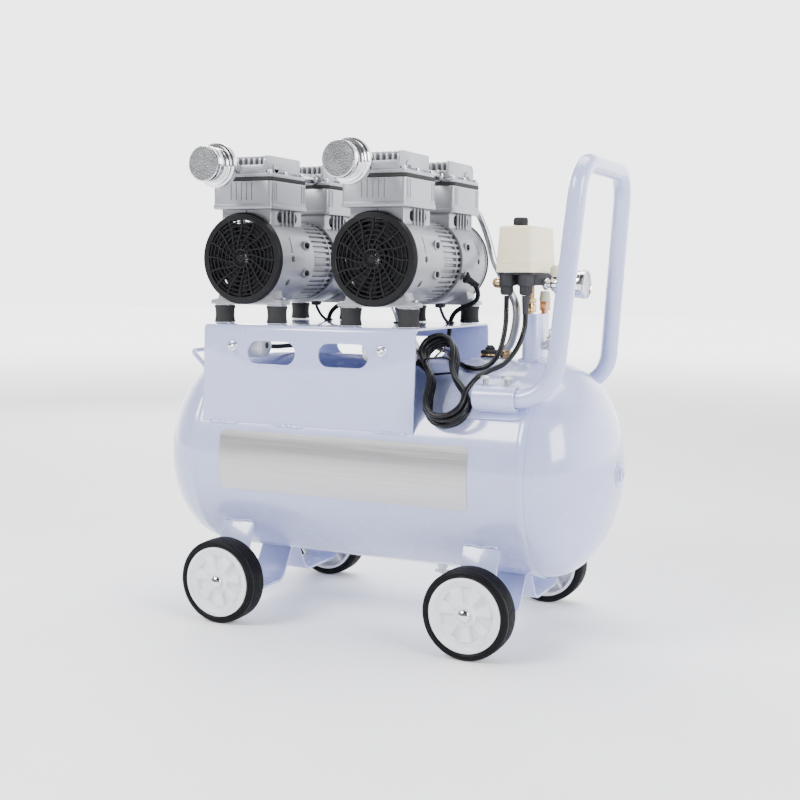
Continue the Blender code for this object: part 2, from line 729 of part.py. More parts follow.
def make_switch():
    x, y = SWITCH_CENTRE
    bottom, top = SWITCH_Z
    base = box("switch_base", "black_plastic", (x - 22, y - 46, OUTLET_Z),
               (x + 25, y + 46, bottom - GAP), 2.0, 1)
    for index, (gland_x, gland_y) in enumerate(GLANDS):
        gland = [(0, OUTLET_Z + 6), (10.5, OUTLET_Z + 6), (10.5, 486), (8.6, 485), (8.6, GLAND_BOTTOM),
                 (0, GLAND_BOTTOM)]
        fuse(base, turned(f"gland_{index}", "black_plastic", gland, (gland_x, gland_y, 0), "Z", 12))
    half_x, half_y = SWITCH_SIZE[0] / 2, SWITCH_SIZE[1] / 2
    shape = bmesh.new()
    bmesh.ops.create_cube(shape, size=1.0)
    bmesh.ops.scale(shape, vec=(2 * half_x * MM, 2 * half_y * MM, (top - bottom) * MM),
                    verts=shape.verts)
    for corner in shape.verts:
        if corner.co.z > 0:
            corner.co.x *= 0.87
            corner.co.y *= 0.92
    lid = min(shape.faces, key=lambda face: face.calc_center_median().z)
    bmesh.ops.delete(shape, geom=[lid], context="FACES_ONLY")
    cover = mesh_object("switch_cover", shape, "ivory_plastic", (x, y, (bottom + top) / 2))
    round_edges(cover, 4.0, 2)
    shell = cover.modifiers.new("Solidify", "SOLIDIFY")
    shell.thickness = 2.2 * MM
    shell.offset = -1.0
    cut(cover, rod("knob_hole", "ivory_plastic", 5.6, top - 8, top + 4, (*SWITCH_KNOB, 0), "Z", 12))
    knob = [(0, top + 12), (9, top + 12), (10, top + 10.5), (10, top + 1.2), (5, top + 1.2),
            (5, top - 20), (0, top - 20)]
    turned("switch_knob", "black_plastic", knob, (*SWITCH_KNOB, 0), "Z", 16)


def make_outlet():
    """Regulator, its knob and the pressure gauge, in line out of the switch."""
    right = SWITCH_CENTRE[0] + 25
    body = [(0, GAUGE_X[0] - GAP), (5, GAUGE_X[0] - GAP), (5, REGULATOR_X + 11),
            (10.5, REGULATOR_X + 9), (10.5, REGULATOR_X - 9), (6, REGULATOR_X - 11),
            (6, right + GAP), (0, right + GAP)]
    at = (0, 0, OUTLET_Z + 2)
    turned("regulator_body", "chrome", body, at, "X", 16)
    knob_low = OUTLET_Z + 2 + 10.5 + GAP
    knob = [(0, knob_low + 15), (10.5, knob_low + 15), (12.3, knob_low + 13), (12.3, knob_low + 2),
            (10.5, knob_low), (0, knob_low)]
    turned("regulator_knob", "ivory_plastic", knob, (REGULATOR_X, 0, 0), "Z", 16)
    gauge = [(0, GAUGE_X[1] - 1.5), (GAUGE_RADIUS - 2.5, GAUGE_X[1] - 1.5),
             (GAUGE_RADIUS - 1.5, GAUGE_X[1]), (GAUGE_RADIUS, GAUGE_X[1] - 1),
             (GAUGE_RADIUS, GAUGE_X[0] + 3), (GAUGE_RADIUS - 2, GAUGE_X[0]), (0, GAUGE_X[0])]
    turned("pressure_gauge", "chrome", gauge, at, "X", 24)


def make_valves():
    x, y = SAFETY_VALVE
    stem = rod("safety_valve", "bright_steel", 5.2, 414.3, 418.5, (x, y, 0), "Z", 12)
    ring_section = [(5.0 + out, up) for out, up in reversed(circle(1.2, 6))]
    ring = turned("pull_ring", "bright_steel", ring_section, (x, y, 423.3), "X", 12, closed=True)
    fuse(stem, ring)
    low = TANK_AXIS_Z - TANK_RADIUS
    profile = [(0, low + 4), (5.4, low + 4), (5.4, low - 0.6), (8, low - 0.6), (8, low - 9),
               (5, low - 10), (5, low - 17), (0, low - 17)]
    drain = turned("drain_valve", "bright_steel", profile, (DRAIN_X, 0, 0), "Z", 12)
    fuse(drain, box("drain_wing", "bright_steel", (DRAIN_X - 12, -2, low - 16),
                    (DRAIN_X + 12, 2, low - 11)))


# ---------------------------------------------------------------- pipes and cords

def make_pipes():
    """Discharge pipes from each rear head down to the tank."""
    right = PUMP_X["right"]
    left = PUMP_X["left"]
    start_right, start_left = [[(x + 24, 134.9, 611), (x + 24, 141, 611), (x + 34, 148, 602),
                                (x + 45, 146, 588)] for x in (right, left)]
    route_right = start_right + [(right + 64, 132, 556), (right + 84, 108, 521), (150, 66, 489),
                                 (180, 26, 462), (184, 19, 436), (179, 15, 408), (172, 12, 396),
                                 (172, 12, 387.4)]
    route_left = start_left + [(left + 64, 130, 556), (left + 88, 104, 521), (-55, 74, 486),
                               (-22, 46, 456), (*PIPE_HOLE, 430), (*PIPE_HOLE, 405),
                               (*PIPE_HOLE, 379.6)]
    for side, route in (("right", route_right), ("left", route_left)):
        tube(f"discharge_pipe_{side}", "bright_steel", smooth_route(route, 15), PIPE_RADIUS, 1)


def make_motor_leads():
    """Each motor's lead, from its casting through the platform, and the right one to the switch."""
    for side, x in PUMP_X.items():
        hole = (x + CABLE_HOLE[0], CABLE_HOLE[1])
        route = [(x + 63.6, 44, 497), (x + 71, 50, 492), (x + 75, 57, 478), (x + 66, 64, 458),
                 (x + 42, 71, 445), (*hole, 434), (*hole, 422)]
        if side == "left":
            route += [(x + 24, 60, 404), (x + 10, 20, 392), (x, -30, 392), (x - 5, -62, 394),
                      (x - 10, -84, 396)]
        else:
            route += [(hole[0] + 8, 60, 403), (78, 20, 391.5), (96, -20, 388.5), (116, -47, 384),
                      (140, -66, 377.5), (164, -76, 371.5), (184, -72, 379), (194, -58, 402),
                      (192, -44, 432), (GLANDS[0][0], GLANDS[0][1], 458),
                      (GLANDS[0][0], GLANDS[0][1], GLAND_BOTTOM - GAP)]
        tube(f"motor_lead_{side}", "cord_rubber", smooth_route(route, 16), LEAD_RADIUS, 2)


# The hank leans on the front of the tank: across is X, down is the way its loops hang.
HANK_NORMAL = Vector((0, -0.794, 0.608)).normalized()
HANK_DOWN = Vector((0, -0.608, -0.794)).normalized()
HANK_DISTANCE = 168.8
HANK_THICKNESS = 28.6
HANK_TOP = (112.0, -76.0, 24.5)
HANK_BOTTOM = (146.0, 4.0, 31.0)


def hank_outline():
    """The hull of two circles, the small upper loops and the wide lower ones."""
    top_x, top_s, top_radius = HANK_TOP
    low_x, low_s, low_radius = HANK_BOTTOM
    across, down = low_x - top_x, low_s - top_s
    lean = math.degrees(math.atan2(-down, across))
    spread = math.degrees(math.acos((low_radius - top_radius) / math.hypot(across, down)))
    low = arc(low_radius, lean - (180 - spread), lean + (180 - spread), 12, (low_x, -low_s))
    top = arc(top_radius, lean + (180 - spread), lean + 180 + spread, 8, (top_x, -top_s))
    return low + top


def make_mains():
    """Supply lead from the second gland to the hank, the hank itself and the plug."""
    gland = (GLANDS[1][0], GLANDS[1][1])
    route = [(*gland, GLAND_BOTTOM - GAP), (*gland, 455), (218, -42, 430), (214, -58, 404),
             (205, -82, 384), (193, -103, 375), (181, -117, 370), (168, -124, 365)]
    tube("mains_lead", "cord_rubber", smooth_route(route, 16), LEAD_RADIUS, 2)
    centre = Vector((0, 0, TANK_AXIS_Z)) + HANK_NORMAL * HANK_DISTANCE
    turn = Matrix((Vector((1, 0, 0)), -HANK_DOWN, HANK_NORMAL)).transposed().to_euler()
    plate("mains_hank", "cord_rubber", [hank_outline()], HANK_THICKNESS, centre, turn=turn)
    plug = box("mains_plug", "cord_rubber", (-22, -14, -11), (22, 14, 11), 3.0, 1)
    plug.location = place((31, -69.2, 379.6))
    plug.rotation_euler = (math.atan2(69.2, 146.6), 0, 0)


make_tank()
make_running_gear()
make_platform()
make_capacitors()
make_pumps()
make_handle_bracket()
make_handle()
make_clamp_screws()
make_column()
make_switch()
make_outlet()
make_valves()
make_pipes()
make_motor_leads()
make_mains()
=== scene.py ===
import math
import random

import bmesh
import bpy
from mathutils import Matrix, Vector


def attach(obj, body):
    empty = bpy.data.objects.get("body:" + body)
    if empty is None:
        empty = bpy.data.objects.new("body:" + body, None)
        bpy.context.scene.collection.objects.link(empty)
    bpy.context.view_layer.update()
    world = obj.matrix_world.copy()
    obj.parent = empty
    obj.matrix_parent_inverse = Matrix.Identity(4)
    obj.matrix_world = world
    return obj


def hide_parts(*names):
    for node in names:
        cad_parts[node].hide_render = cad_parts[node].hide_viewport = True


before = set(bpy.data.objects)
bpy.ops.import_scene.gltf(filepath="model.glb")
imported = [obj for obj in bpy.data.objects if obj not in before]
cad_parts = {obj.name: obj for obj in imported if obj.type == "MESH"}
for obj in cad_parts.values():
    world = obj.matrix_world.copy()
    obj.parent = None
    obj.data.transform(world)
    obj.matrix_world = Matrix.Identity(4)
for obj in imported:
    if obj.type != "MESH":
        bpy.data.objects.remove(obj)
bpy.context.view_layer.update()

# Sizes are millimetres from the middle of the tank, as on the machine's drawing: X along
# the tank, Y to the back, Z above the floor.  ORIGIN moves them to the frame's own origin.
MM = 0.001
ORIGIN = Vector((0.0, -11.0, 0.0))
TO_METRES = Matrix.Scale(MM, 4) @ Matrix.Translation(-ORIGIN)

TANK_RADIUS = 150.0
TANK_Z = 233.0
SEAM_X = 251.0
DOME = 92.5
WHEEL_X = 191.0
WHEEL_Z = 60.7
PUMP_X = {"left": -175.3, "right": 32.3}
PUMP_Z = 521.6
BLOCK_Y = (31.0, 134.6)
SOCKET_Y = 127.5
SOCKET_Z = 342.0
GLANDS = ((190.0, -38.0), (217.5, -38.0))
CAPACITORS = {"left": -189.0, "right": 48.0}
HANK_FOLDS = ((143, 3, 27.5), (112, -76, 21.8))
HANK_LEANS = ((2, 0), (5, 3), (-4, -4), (-1, 2), (1, 0))
WAIST_PULL = 4.5

# The photo's camera, solved from the tank: degrees, and millimetres as above.
CAMERA_AZIMUTH, CAMERA_ELEVATION, CAMERA_ROLL = 25.19, 5.82, 0.57
CAMERA_AT = (765.0, -1599.8, 497.8)
CAMERA_LENS = 54.35
SENSOR_WIDTH = 36.0

# How far the finishes' bumps stand up, in metres.
GRAIN_DEPTH = 0.0004
DIMPLE_DEPTH = 0.0008


# ---------------------------------------------------------------- camera, light and floor

def place(point):
    return (Vector(point) - ORIGIN) * MM


def node(nodes, kind, **inputs):
    """A new shader node with some inputs set; an underscore in a name stands for a space."""
    made = nodes.new("ShaderNode" + kind)
    for name, value in inputs.items():
        made.inputs[name.replace("_", " ")].default_value = value
    return made


def make_camera():
    azimuth, elevation, roll = (math.radians(angle) for angle in
                                (CAMERA_AZIMUTH, CAMERA_ELEVATION, CAMERA_ROLL))
    back = Vector((math.sin(azimuth) * math.cos(elevation),
                   -math.cos(azimuth) * math.cos(elevation),
                   math.sin(elevation)))
    right = Vector((math.cos(azimuth), math.sin(azimuth), 0))
    up = back.cross(right)
    x_axis = right * math.cos(roll) + up * math.sin(roll)
    y_axis = up * math.cos(roll) - right * math.sin(roll)
    camera = bpy.data.objects.new("camera", bpy.data.cameras.new("camera"))
    camera.data.sensor_width = SENSOR_WIDTH
    camera.data.lens = CAMERA_LENS
    turn = Matrix((x_axis, y_axis, back)).transposed().to_4x4()
    camera.matrix_world = Matrix.Translation(place(CAMERA_AT)) @ turn
    bpy.context.scene.collection.objects.link(camera)
    bpy.context.scene.camera = camera


def softbox(name, at, aim, size, power, colour=(1, 1, 1)):
    light = bpy.data.lights.new(name, "AREA")
    light.shape = "RECTANGLE"
    light.size, light.size_y = size
    light.energy = power
    light.color = colour
    thing = bpy.data.objects.new(name, light)
    thing.location = at
    thing.rotation_euler = (Vector(aim) - Vector(at)).to_track_quat("-Z", "Y").to_euler()
    bpy.context.scene.collection.objects.link(thing)


def make_studio():
    softbox("key", (-1.5, -2.1, 2.4), (0.0, 0.0, 0.4), (1.5, 1.2), 128)
    softbox("fill", (2.7, -1.0, 1.5), (0.1, 0.0, 0.35), (1.2, 1.5), 88, (0.97, 0.98, 1.0))
    softbox("top", (0.1, 0.6, 2.6), (0.0, 0.0, 0.5), (2.2, 1.4), 62)
    softbox("rim", (-1.7, 2.0, 1.5), (0.0, 0.1, 0.45), (1.2, 1.4), 40)
    world = bpy.data.worlds.new("studio")
    world.use_nodes = True
    nodes, links = world.node_tree.nodes, world.node_tree.links
    background = nodes["Background"]
    background.inputs["Color"].default_value = (0.955, 0.965, 1.0, 1)
    direction = nodes.new("ShaderNodeTexCoord")
    parts = nodes.new("ShaderNodeSeparateXYZ")
    links.new(direction.outputs["Generated"], parts.inputs["Vector"])
    backdrop = node(nodes, "MapRange", From_Min=-0.35, From_Max=0.45, To_Min=0.30, To_Max=3.9)
    overhead = node(nodes, "MapRange", From_Min=0.25, From_Max=0.6, To_Min=1.0, To_Max=0.3)
    backdrop.interpolation_type = overhead.interpolation_type = "SMOOTHSTEP"
    links.new(parts.outputs["Y"], backdrop.inputs["Value"])
    links.new(parts.outputs["Z"], overhead.inputs["Value"])
    product = nodes.new("ShaderNodeMath")
    product.operation = "MULTIPLY"
    links.new(backdrop.outputs["Result"], product.inputs[0])
    links.new(overhead.outputs["Result"], product.inputs[1])
    links.new(product.outputs["Value"], background.inputs["Strength"])
    bpy.context.scene.world = world
    shape = bmesh.new()
    bmesh.ops.create_grid(shape, x_segments=1, y_segments=1, size=14)
    mesh = bpy.data.meshes.new("floor")
    shape.to_mesh(mesh)
    shape.free()
    floor = bpy.data.objects.new("floor", mesh)
    bpy.context.scene.collection.objects.link(floor)
    finish = look("studio_floor", (0.95, 0.955, 0.965), 0.75, grain=(300, 0.03))
    nodes, links = finish.node_tree.nodes, finish.node_tree.links
    where, reach = node(nodes, "TexCoord"), node(nodes, "VectorMath")
    glow = node(nodes, "MapRange", From_Min=1.2, From_Max=7.0, To_Min=0.15, To_Max=3.2)
    reach.operation = "LENGTH"
    glow.interpolation_type = "SMOOTHSTEP"
    links.new(where.outputs["Object"], reach.inputs[0])
    links.new(reach.outputs["Value"], glow.inputs["Value"])
    links.new(glow.outputs["Result"], nodes["Principled BSDF"].inputs["Emission Strength"])
    nodes["Principled BSDF"].inputs["Emission Color"].default_value = (0.97, 0.975, 1.0, 1)
    mesh.materials.append(finish)


# ---------------------------------------------------------------- materials

def look(name, colour, roughness, metallic=0.0, coat=0.0, grain=None, mottle=0.0, brushed=None,
         rough_spread=0.06, dimple=None, specular=None):
    """A finish: base colour with faint mottling, uneven gloss, and a fine grain or brushed bump."""
    found = bpy.data.materials.get(name)
    if found:
        return found
    made = bpy.data.materials.new(name)
    made.use_nodes = True
    nodes, links = made.node_tree.nodes, made.node_tree.links
    shader = nodes["Principled BSDF"]
    shader.inputs["Metallic"].default_value = metallic
    shader.inputs["Coat Weight"].default_value = coat
    shader.inputs["Coat Roughness"].default_value = 0.08
    if specular is not None:
        shader.inputs["Specular IOR Level"].default_value = specular
    place_node = nodes.new("ShaderNodeTexCoord")

    def noise(scale, detail=3.0, stretch=None):
        texture = node(nodes, "TexNoise", Scale=scale, Detail=detail)
        if stretch:
            mapping = node(nodes, "Mapping", Scale=stretch)
            links.new(place_node.outputs["Object"], mapping.inputs["Vector"])
            links.new(mapping.outputs["Vector"], texture.inputs["Vector"])
        else:
            links.new(place_node.outputs["Object"], texture.inputs["Vector"])
        return texture.outputs["Fac"]

    def spread(source, low, high):
        ranged = node(nodes, "MapRange", From_Min=0.3, From_Max=0.7, To_Min=low, To_Max=high)
        links.new(source, ranged.inputs["Value"])
        return ranged.outputs["Result"]

    cloud = noise(9.0, 4.0) if not brushed else noise(1.0, 4.0, brushed)
    mix = nodes.new("ShaderNodeMix")
    mix.data_type = "RGBA"
    shade = 1.0 - max(mottle, 0.02)
    mix.inputs["A"].default_value = (*[c * shade for c in colour], 1)
    mix.inputs["B"].default_value = (*[min(1.0, c * (2 - shade)) for c in colour], 1)
    links.new(spread(cloud, 0.0, 1.0), mix.inputs["Factor"])
    links.new(mix.outputs["Result"], shader.inputs["Base Color"])
    rough_source = cloud if brushed else noise(38.0, 3.0)
    links.new(spread(rough_source, max(0.02, roughness - rough_spread), roughness + rough_spread),
              shader.inputs["Roughness"])
    if grain or brushed:
        scale, strength = grain or (1.0, 0.12)
        bump = node(nodes, "Bump", Strength=strength, Distance=GRAIN_DEPTH)
        links.new(cloud if brushed else noise(scale, 2.0), bump.inputs["Height"])
        if dimple:
            cells = node(nodes, "TexVoronoi", Scale=dimple[0])
            links.new(place_node.outputs["Object"], cells.inputs["Vector"])
            hammered = node(nodes, "Bump", Strength=dimple[1], Distance=DIMPLE_DEPTH)
            links.new(cells.outputs["Distance"], hammered.inputs["Height"])
            links.new(hammered.outputs["Normal"], bump.inputs["Normal"])
        links.new(bump.outputs["Normal"], shader.inputs["Normal"])
    return made


LOOKS = {
    "paint": dict(colour=(0.43, 0.475, 0.745), roughness=0.24, coat=1.0, grain=(420, 0.035),
                  mottle=0.02),
    "plate": dict(colour=(0.50, 0.50, 0.505), roughness=0.34, metallic=0.85,
                  brushed=(6, 900, 900), mottle=0.12),
    "casting": dict(colour=(0.32, 0.325, 0.345), roughness=0.38, metallic=0.65, grain=(1500, 0.25),
                    mottle=0.05),
    "black_plastic": dict(colour=(0.008, 0.008, 0.009), specular=0.2, roughness=0.27,
                          grain=(1800, 0.12),
                          mottle=0.12),
    "fan_plastic": dict(colour=(0.009, 0.009, 0.010), specular=0.14, roughness=0.38,
                        grain=(1600, 0.14), mottle=0.1),
    "black_rubber": dict(colour=(0.005, 0.005, 0.005), specular=0.12, roughness=0.24,
                         grain=(900, 0.2), mottle=0.15),
    "tyre": dict(colour=(0.005, 0.005, 0.006), specular=0.12, roughness=0.5, grain=(1100, 0.25),
                 mottle=0.2),
    "white_plastic": dict(colour=(0.52, 0.54, 0.60), roughness=0.32, coat=0.2, grain=(900, 0.05),
                          mottle=0.015),
    "ivory": dict(colour=(0.86, 0.77, 0.53), roughness=0.42, grain=(1400, 0.12), mottle=0.015),
    "cream": dict(colour=(0.74, 0.70, 0.56), roughness=0.45, grain=(1400, 0.12), mottle=0.02),
    "chrome": dict(colour=(0.74, 0.75, 0.77), roughness=0.1, metallic=1.0, grain=(60, 0.03),
                   rough_spread=0.04),
    "hammered": dict(colour=(0.50, 0.51, 0.52), roughness=0.24, metallic=1.0, grain=(700, 0.12),
                     mottle=0.05, dimple=(420, 0.18)),
    "zinc": dict(colour=(0.58, 0.62, 0.68), roughness=0.26, metallic=1.0, grain=(600, 0.08),
                 mottle=0.06),
    "steel": dict(colour=(0.60, 0.60, 0.61), roughness=0.28, metallic=1.0, grain=(500, 0.08),
                  mottle=0.05),
    "pipe": dict(colour=(0.55, 0.56, 0.57), roughness=0.22, metallic=1.0, grain=(200, 0.06),
                 mottle=0.06),
    "braid": dict(colour=(0.42, 0.43, 0.44), roughness=0.36, metallic=0.85, grain=(900, 0.2),
                  mottle=0.15),
    "brass": dict(colour=(0.62, 0.42, 0.20), roughness=0.24, metallic=1.0, grain=(500, 0.08),
                  mottle=0.08),
    "copper": dict(colour=(0.70, 0.38, 0.22), roughness=0.28, metallic=1.0, grain=(500, 0.08),
                   mottle=0.08),
    "cable": dict(colour=(0.005, 0.005, 0.006), specular=0.25, roughness=0.3, grain=(700, 0.1),
                  mottle=0.2),
    "dial": dict(colour=(0.85, 0.86, 0.86), roughness=0.5, grain=(900, 0.04), mottle=0.01),
    "ink": dict(colour=(0.02, 0.02, 0.02), roughness=0.5, grain=(900, 0.04), mottle=0.1),
    "red": dict(colour=(0.55, 0.03, 0.02), roughness=0.4, grain=(900, 0.04), mottle=0.05),
}


def surface(name):
    if name == "glass":
        return glass()
    return look(name, **LOOKS[name])


def glass():
    found = bpy.data.materials.get("glass")
    if found:
        return found
    made = bpy.data.materials.new("glass")
    made.use_nodes = True
    nodes, links = made.node_tree.nodes, made.node_tree.links
    shader = nodes["Principled BSDF"]
    shader.inputs["Transmission Weight"].default_value = 1.0
    shader.inputs["IOR"].default_value = 1.45
    smear = node(nodes, "TexNoise", Scale=60.0)
    ranged = node(nodes, "MapRange", To_Min=0.0, To_Max=0.06)
    links.new(smear.outputs["Fac"], ranged.inputs["Value"])
    links.new(ranged.outputs["Result"], shader.inputs["Roughness"])
    return made


# ---------------------------------------------------------------- shapes, as meshes in millimetres

TURNS = {"Z": Matrix.Identity(4), "X": Matrix.Rotation(math.pi / 2, 4, "Y"),
         "front": Matrix.Rotation(math.pi / 2, 4,
                                  "X"), "back": Matrix.Rotation(-math.pi / 2, 4, "X")}


def moved(shape, at=(0, 0, 0), turn=None):
    matrix = Matrix.Translation(Vector(at)) @ (turn or Matrix.Identity(4))
    bmesh.ops.transform(shape, matrix=matrix, verts=shape.verts)
    return shape


def merged(shapes):
    whole = shapes[0]
    for extra in shapes[1:]:
        mesh = bpy.data.meshes.new("part")
        extra.to_mesh(mesh)
        extra.free()
        whole.from_mesh(mesh)
        bpy.data.meshes.remove(mesh)
    return whole


def temporary(shape):
    mesh = bpy.data.meshes.new("working")
    shape.to_mesh(mesh)
    shape.free()
    thing = bpy.data.objects.new("working", mesh)
    bpy.context.scene.collection.objects.link(thing)
    return thing


def baked(thing):
    """The shape an object has with its modifiers; the object goes."""
    graph = bpy.context.evaluated_depsgraph_get()
    mesh = bpy.data.meshes.new_from_object(thing.evaluated_get(graph))
    shape = bmesh.new()
    shape.from_mesh(mesh)
    bpy.data.meshes.remove(mesh)
    data = thing.data
    bpy.data.objects.remove(thing, do_unlink=True)
    (bpy.data.meshes if isinstance(data, bpy.types.Mesh) else bpy.data.curves).remove(data)
    return shape


def rounded(shape, width, segments=2, angle=30.0):
    thing = temporary(shape)
    modifier = thing.modifiers.new("Bevel", "BEVEL")
    modifier.width = width
    modifier.segments = segments
    modifier.limit_method = "ANGLE"
    modifier.angle_limit = math.radians(angle)
    modifier.use_clamp_overlap = True
    return baked(thing)


def boolean(shape, tools, operation="DIFFERENCE"):
    thing = temporary(shape)
    others = []
    for tool in tools:
        other = temporary(tool)
        others.append(other)
        modifier = thing.modifiers.new("Boolean", "BOOLEAN")
        modifier.operation = operation
        modifier.solver = "EXACT"
        modifier.object = other
    result = baked(thing)
    for other in others:
        data = other.data
        bpy.data.objects.remove(other, do_unlink=True)
        bpy.data.meshes.remove(data)
    return result


def box(low, high, bevel=0.0, segments=2):
    low, high = Vector(low), Vector(high)
    shape = bmesh.new()
    bmesh.ops.create_cube(shape, size=1.0)
    bmesh.ops.scale(shape, vec=high - low, verts=shape.verts)
    bmesh.ops.translate(shape, vec=(low + high) / 2, verts=shape.verts)
    return rounded(shape, bevel, segments) if bevel else shape


def turned(profile, at=(0, 0, 0), axis="Z", segments=48, closed=False):
    """A profile of (radius, height) pairs spun about an axis; its ends close on the axis."""
    shape = bmesh.new()
    rings = []
    for radius, height in profile:
        if radius < 1e-6:
            rings.append([shape.verts.new((0, 0, height))])
        else:
            rings.append([shape.verts.new((radius * math.cos(a), radius * math.sin(a), height))
                          for a in (2 * math.pi * i / segments for i in range(segments))])
    pairs = list(zip(rings, rings[1:])) + ([(rings[-1], rings[0])] if closed else [])
    for upper, lower in pairs:
        for i in range(segments):
            j = (i + 1) % segments
            corners = [upper[i % len(upper)], lower[i % len(lower)], lower[j % len(lower)],
                       upper[j % len(upper)]]
            face = list(dict.fromkeys(corners))
            if len(face) > 2:
                shape.faces.new(face)
    bmesh.ops.recalc_face_normals(shape, faces=shape.faces)
    return moved(shape, at, TURNS[axis])


def rod(radius, low, high, at=(0, 0, 0), axis="Z", segments=32, chamfer=0.0):
    c = chamfer
    profile = [(0, high), (radius - c, high), (radius, high - c), (radius, low + c),
               (radius - c, low), (0, low)] if c else [(0, high), (radius, high), (radius, low),
                                                       (0, low)]
    return turned(profile, at, axis, segments)


def hexagon(width, low, high, at, axis="Z", bevel=0.6):
    """A nut or bolt head, its corners turned down a little."""
    radius = width / math.sqrt(3)
    shape = turned([(0, high), (radius * 0.93, high), (radius, high - 1.0), (radius, low + 1.0),
                    (radius * 0.95, low), (0, low)], (0, 0, 0), "Z", 6)
    return moved(rounded(shape, bevel, 1, 20), at, TURNS[axis])


def bolt(at, axis="Z", width=7.0, head=4.0, washer=True):
    """A hex head on its washer, standing out of the surface at a point."""
    shapes = [hexagon(width, 0.8, head + 0.8, at, axis)]
    if washer:
        shapes.append(rod(width * 0.78, 0, 0.9, at, axis, 24, 0.2))
    return merged(shapes)


def acorn_nut(at, axis, width=12.0):
    r = width / 2
    dome = turned([(0, 9.2), (r * 0.5, 8.6), (r * 0.82, 6.6), (r * 0.9, 4.6), (0, 4.6)], at, axis,
                  24)
    return merged([rod(r * 1.25, 0, 1.1, at, axis, 32, 0.3), hexagon(width, 1.0, 5.2, at, axis),
                   dome])


PLANES = {"XY": Matrix.Identity(4), "XZ": Matrix.Rotation(math.pi / 2, 4, "X"),
          "YZ": Matrix.Rotation(math.pi / 2, 4, "Z") @ Matrix.Rotation(math.pi / 2, 4, "X")}


def plate(outlines, thickness, at=(0, 0, 0), plane="XZ", turn=None, bevel=0.0):
    """A flat outline, with any holes as further outlines, given a thickness about its plane."""
    curve = bpy.data.curves.new("outline", "CURVE")
    curve.dimensions = "2D"
    curve.fill_mode = "BOTH"
    curve.extrude = thickness / 2
    for outline in outlines:
        spline = curve.splines.new("POLY")
        spline.points.add(len(outline) - 1)
        for point, (across, up) in zip(spline.points, outline):
            point.co = (across, up, 0, 1)
        spline.use_cyclic_u = True
    thing = bpy.data.objects.new("outline", curve)
    bpy.context.scene.collection.objects.link(thing)
    shape = baked(thing)
    bmesh.ops.remove_doubles(shape, verts=shape.verts, dist=0.002)
    if bevel:
        shape = rounded(shape, bevel, 2, 50)
    return moved(shape, at, turn or PLANES[plane])


def sweep(points, radius, sides=16, radii=None):
    """A round bar along points, its rings turned with the path; radii may vary along it."""
    path = [Vector(p) for p in points]
    shape = bmesh.new()
    tangents = [(path[min(i + 1, len(path) - 1)] - path[max(i - 1, 0)]).normalized()
                for i in range(len(path))]
    normal = tangents[0].orthogonal().normalized()
    rings = []
    for i, (point, tangent) in enumerate(zip(path, tangents)):
        normal = (normal - tangent * normal.dot(tangent)).normalized()
        side = tangent.cross(normal)
        r = radii[i] if radii else radius
        rings.append([shape.verts.new(point + (normal * math.cos(a) + side * math.sin(a)) * r)
                      for a in (2 * math.pi * k / sides for k in range(sides))])
    for near, far in zip(rings, rings[1:]):
        for k in range(sides):
            shape.faces.new((near[k], near[(k + 1) % sides], far[(k + 1) % sides], far[k]))
    shape.faces.new(rings[0][::-1])
    shape.faces.new(rings[-1])
    bmesh.ops.recalc_face_normals(shape, faces=shape.faces)
    return shape


def strip(path, left, right, thickness, bevel=0.7):
    """Sheet metal bent along (y, z) points and wide in X."""
    shape = bmesh.new()
    rows = [[shape.verts.new((x, y, z)) for x in (left, right)] for y, z in path]
    for (a, b), (c, d) in zip(rows, rows[1:]):
        shape.faces.new((a, b, d, c))
    thing = temporary(shape)
    solid = thing.modifiers.new("Solidify", "SOLIDIFY")
    solid.thickness = thickness
    solid.offset = 0.0
    solid.use_even_offset = True
    shape = baked(thing)
    return rounded(shape, bevel, 2, 50)


def weld(points, radius=2.4, seed=1):
    """A rippled bead of weld along a path."""
    rng = random.Random(seed)
    path = even(points, 1.6)
    radii = [radius * (0.82 + 0.18 * math.sin(i * 1.9) + rng.uniform(-0.1, 0.1))
             for i in range(len(path))]
    radii[0] = radii[-1] = radius * 0.5
    return sweep(path, radius, 8, radii)


# ---------------------------------------------------------------- outlines and routes

def arc(radius, start, end, steps, centre=(0.0, 0.0)):
    angles = [math.radians(start + (end - start) * i / steps) for i in range(steps + 1)]
    return [(centre[0] + radius * math.cos(a), centre[1] + radius * math.sin(a)) for a in angles]


def circle(radius, steps, centre=(0.0, 0.0)):
    return arc(radius, 0, 360, steps, centre)[:-1]


def obround(width, height, steps=10, centre=(0.0, 0.0)):
    radius = min(width, height) / 2
    reach = max(width, height) / 2 - radius
    points = arc(radius, -90, 90, steps, (reach, 0)) + arc(radius, 90, 270, steps, (-reach, 0))
    if height > width:
        points = [(-up, across) for across, up in points]
    return [(centre[0] + across, centre[1] + up) for across, up in points]


def rectangle(low, high, radius, steps=5):
    """A rectangle outline with round corners."""
    (x0, y0), (x1, y1) = low, high
    corners = [((x1 - radius, y0 + radius), -90), ((x1 - radius, y1 - radius), 0),
               ((x0 + radius, y1 - radius), 90), ((x0 + radius, y0 + radius), 180)]
    return [p for centre, start in corners for p in arc(radius, start, start + 90, steps, centre)]


def fillet(points, radii, steps):
    path = [Vector(point) for point in points]
    result = [path[0]]
    for before, corner, after, radius in zip(path, path[1:], path[2:], radii):
        to_before = (before - corner).normalized()
        to_after = (after - corner).normalized()
        half_angle = to_before.angle(to_after) / 2
        reach = radius / math.tan(half_angle)
        centre = corner + (to_before + to_after).normalized() * radius / math.sin(half_angle)
        start = corner + to_before * reach - centre
        end = corner + to_after * reach - centre
        turn = start.angle(end)
        for i in range(steps + 1):
            t = i / steps
            between = start * math.sin((1 - t) * turn) + end * math.sin(t * turn)
            result.append(centre + between / math.sin(turn))
    result.append(path[-1])
    return result


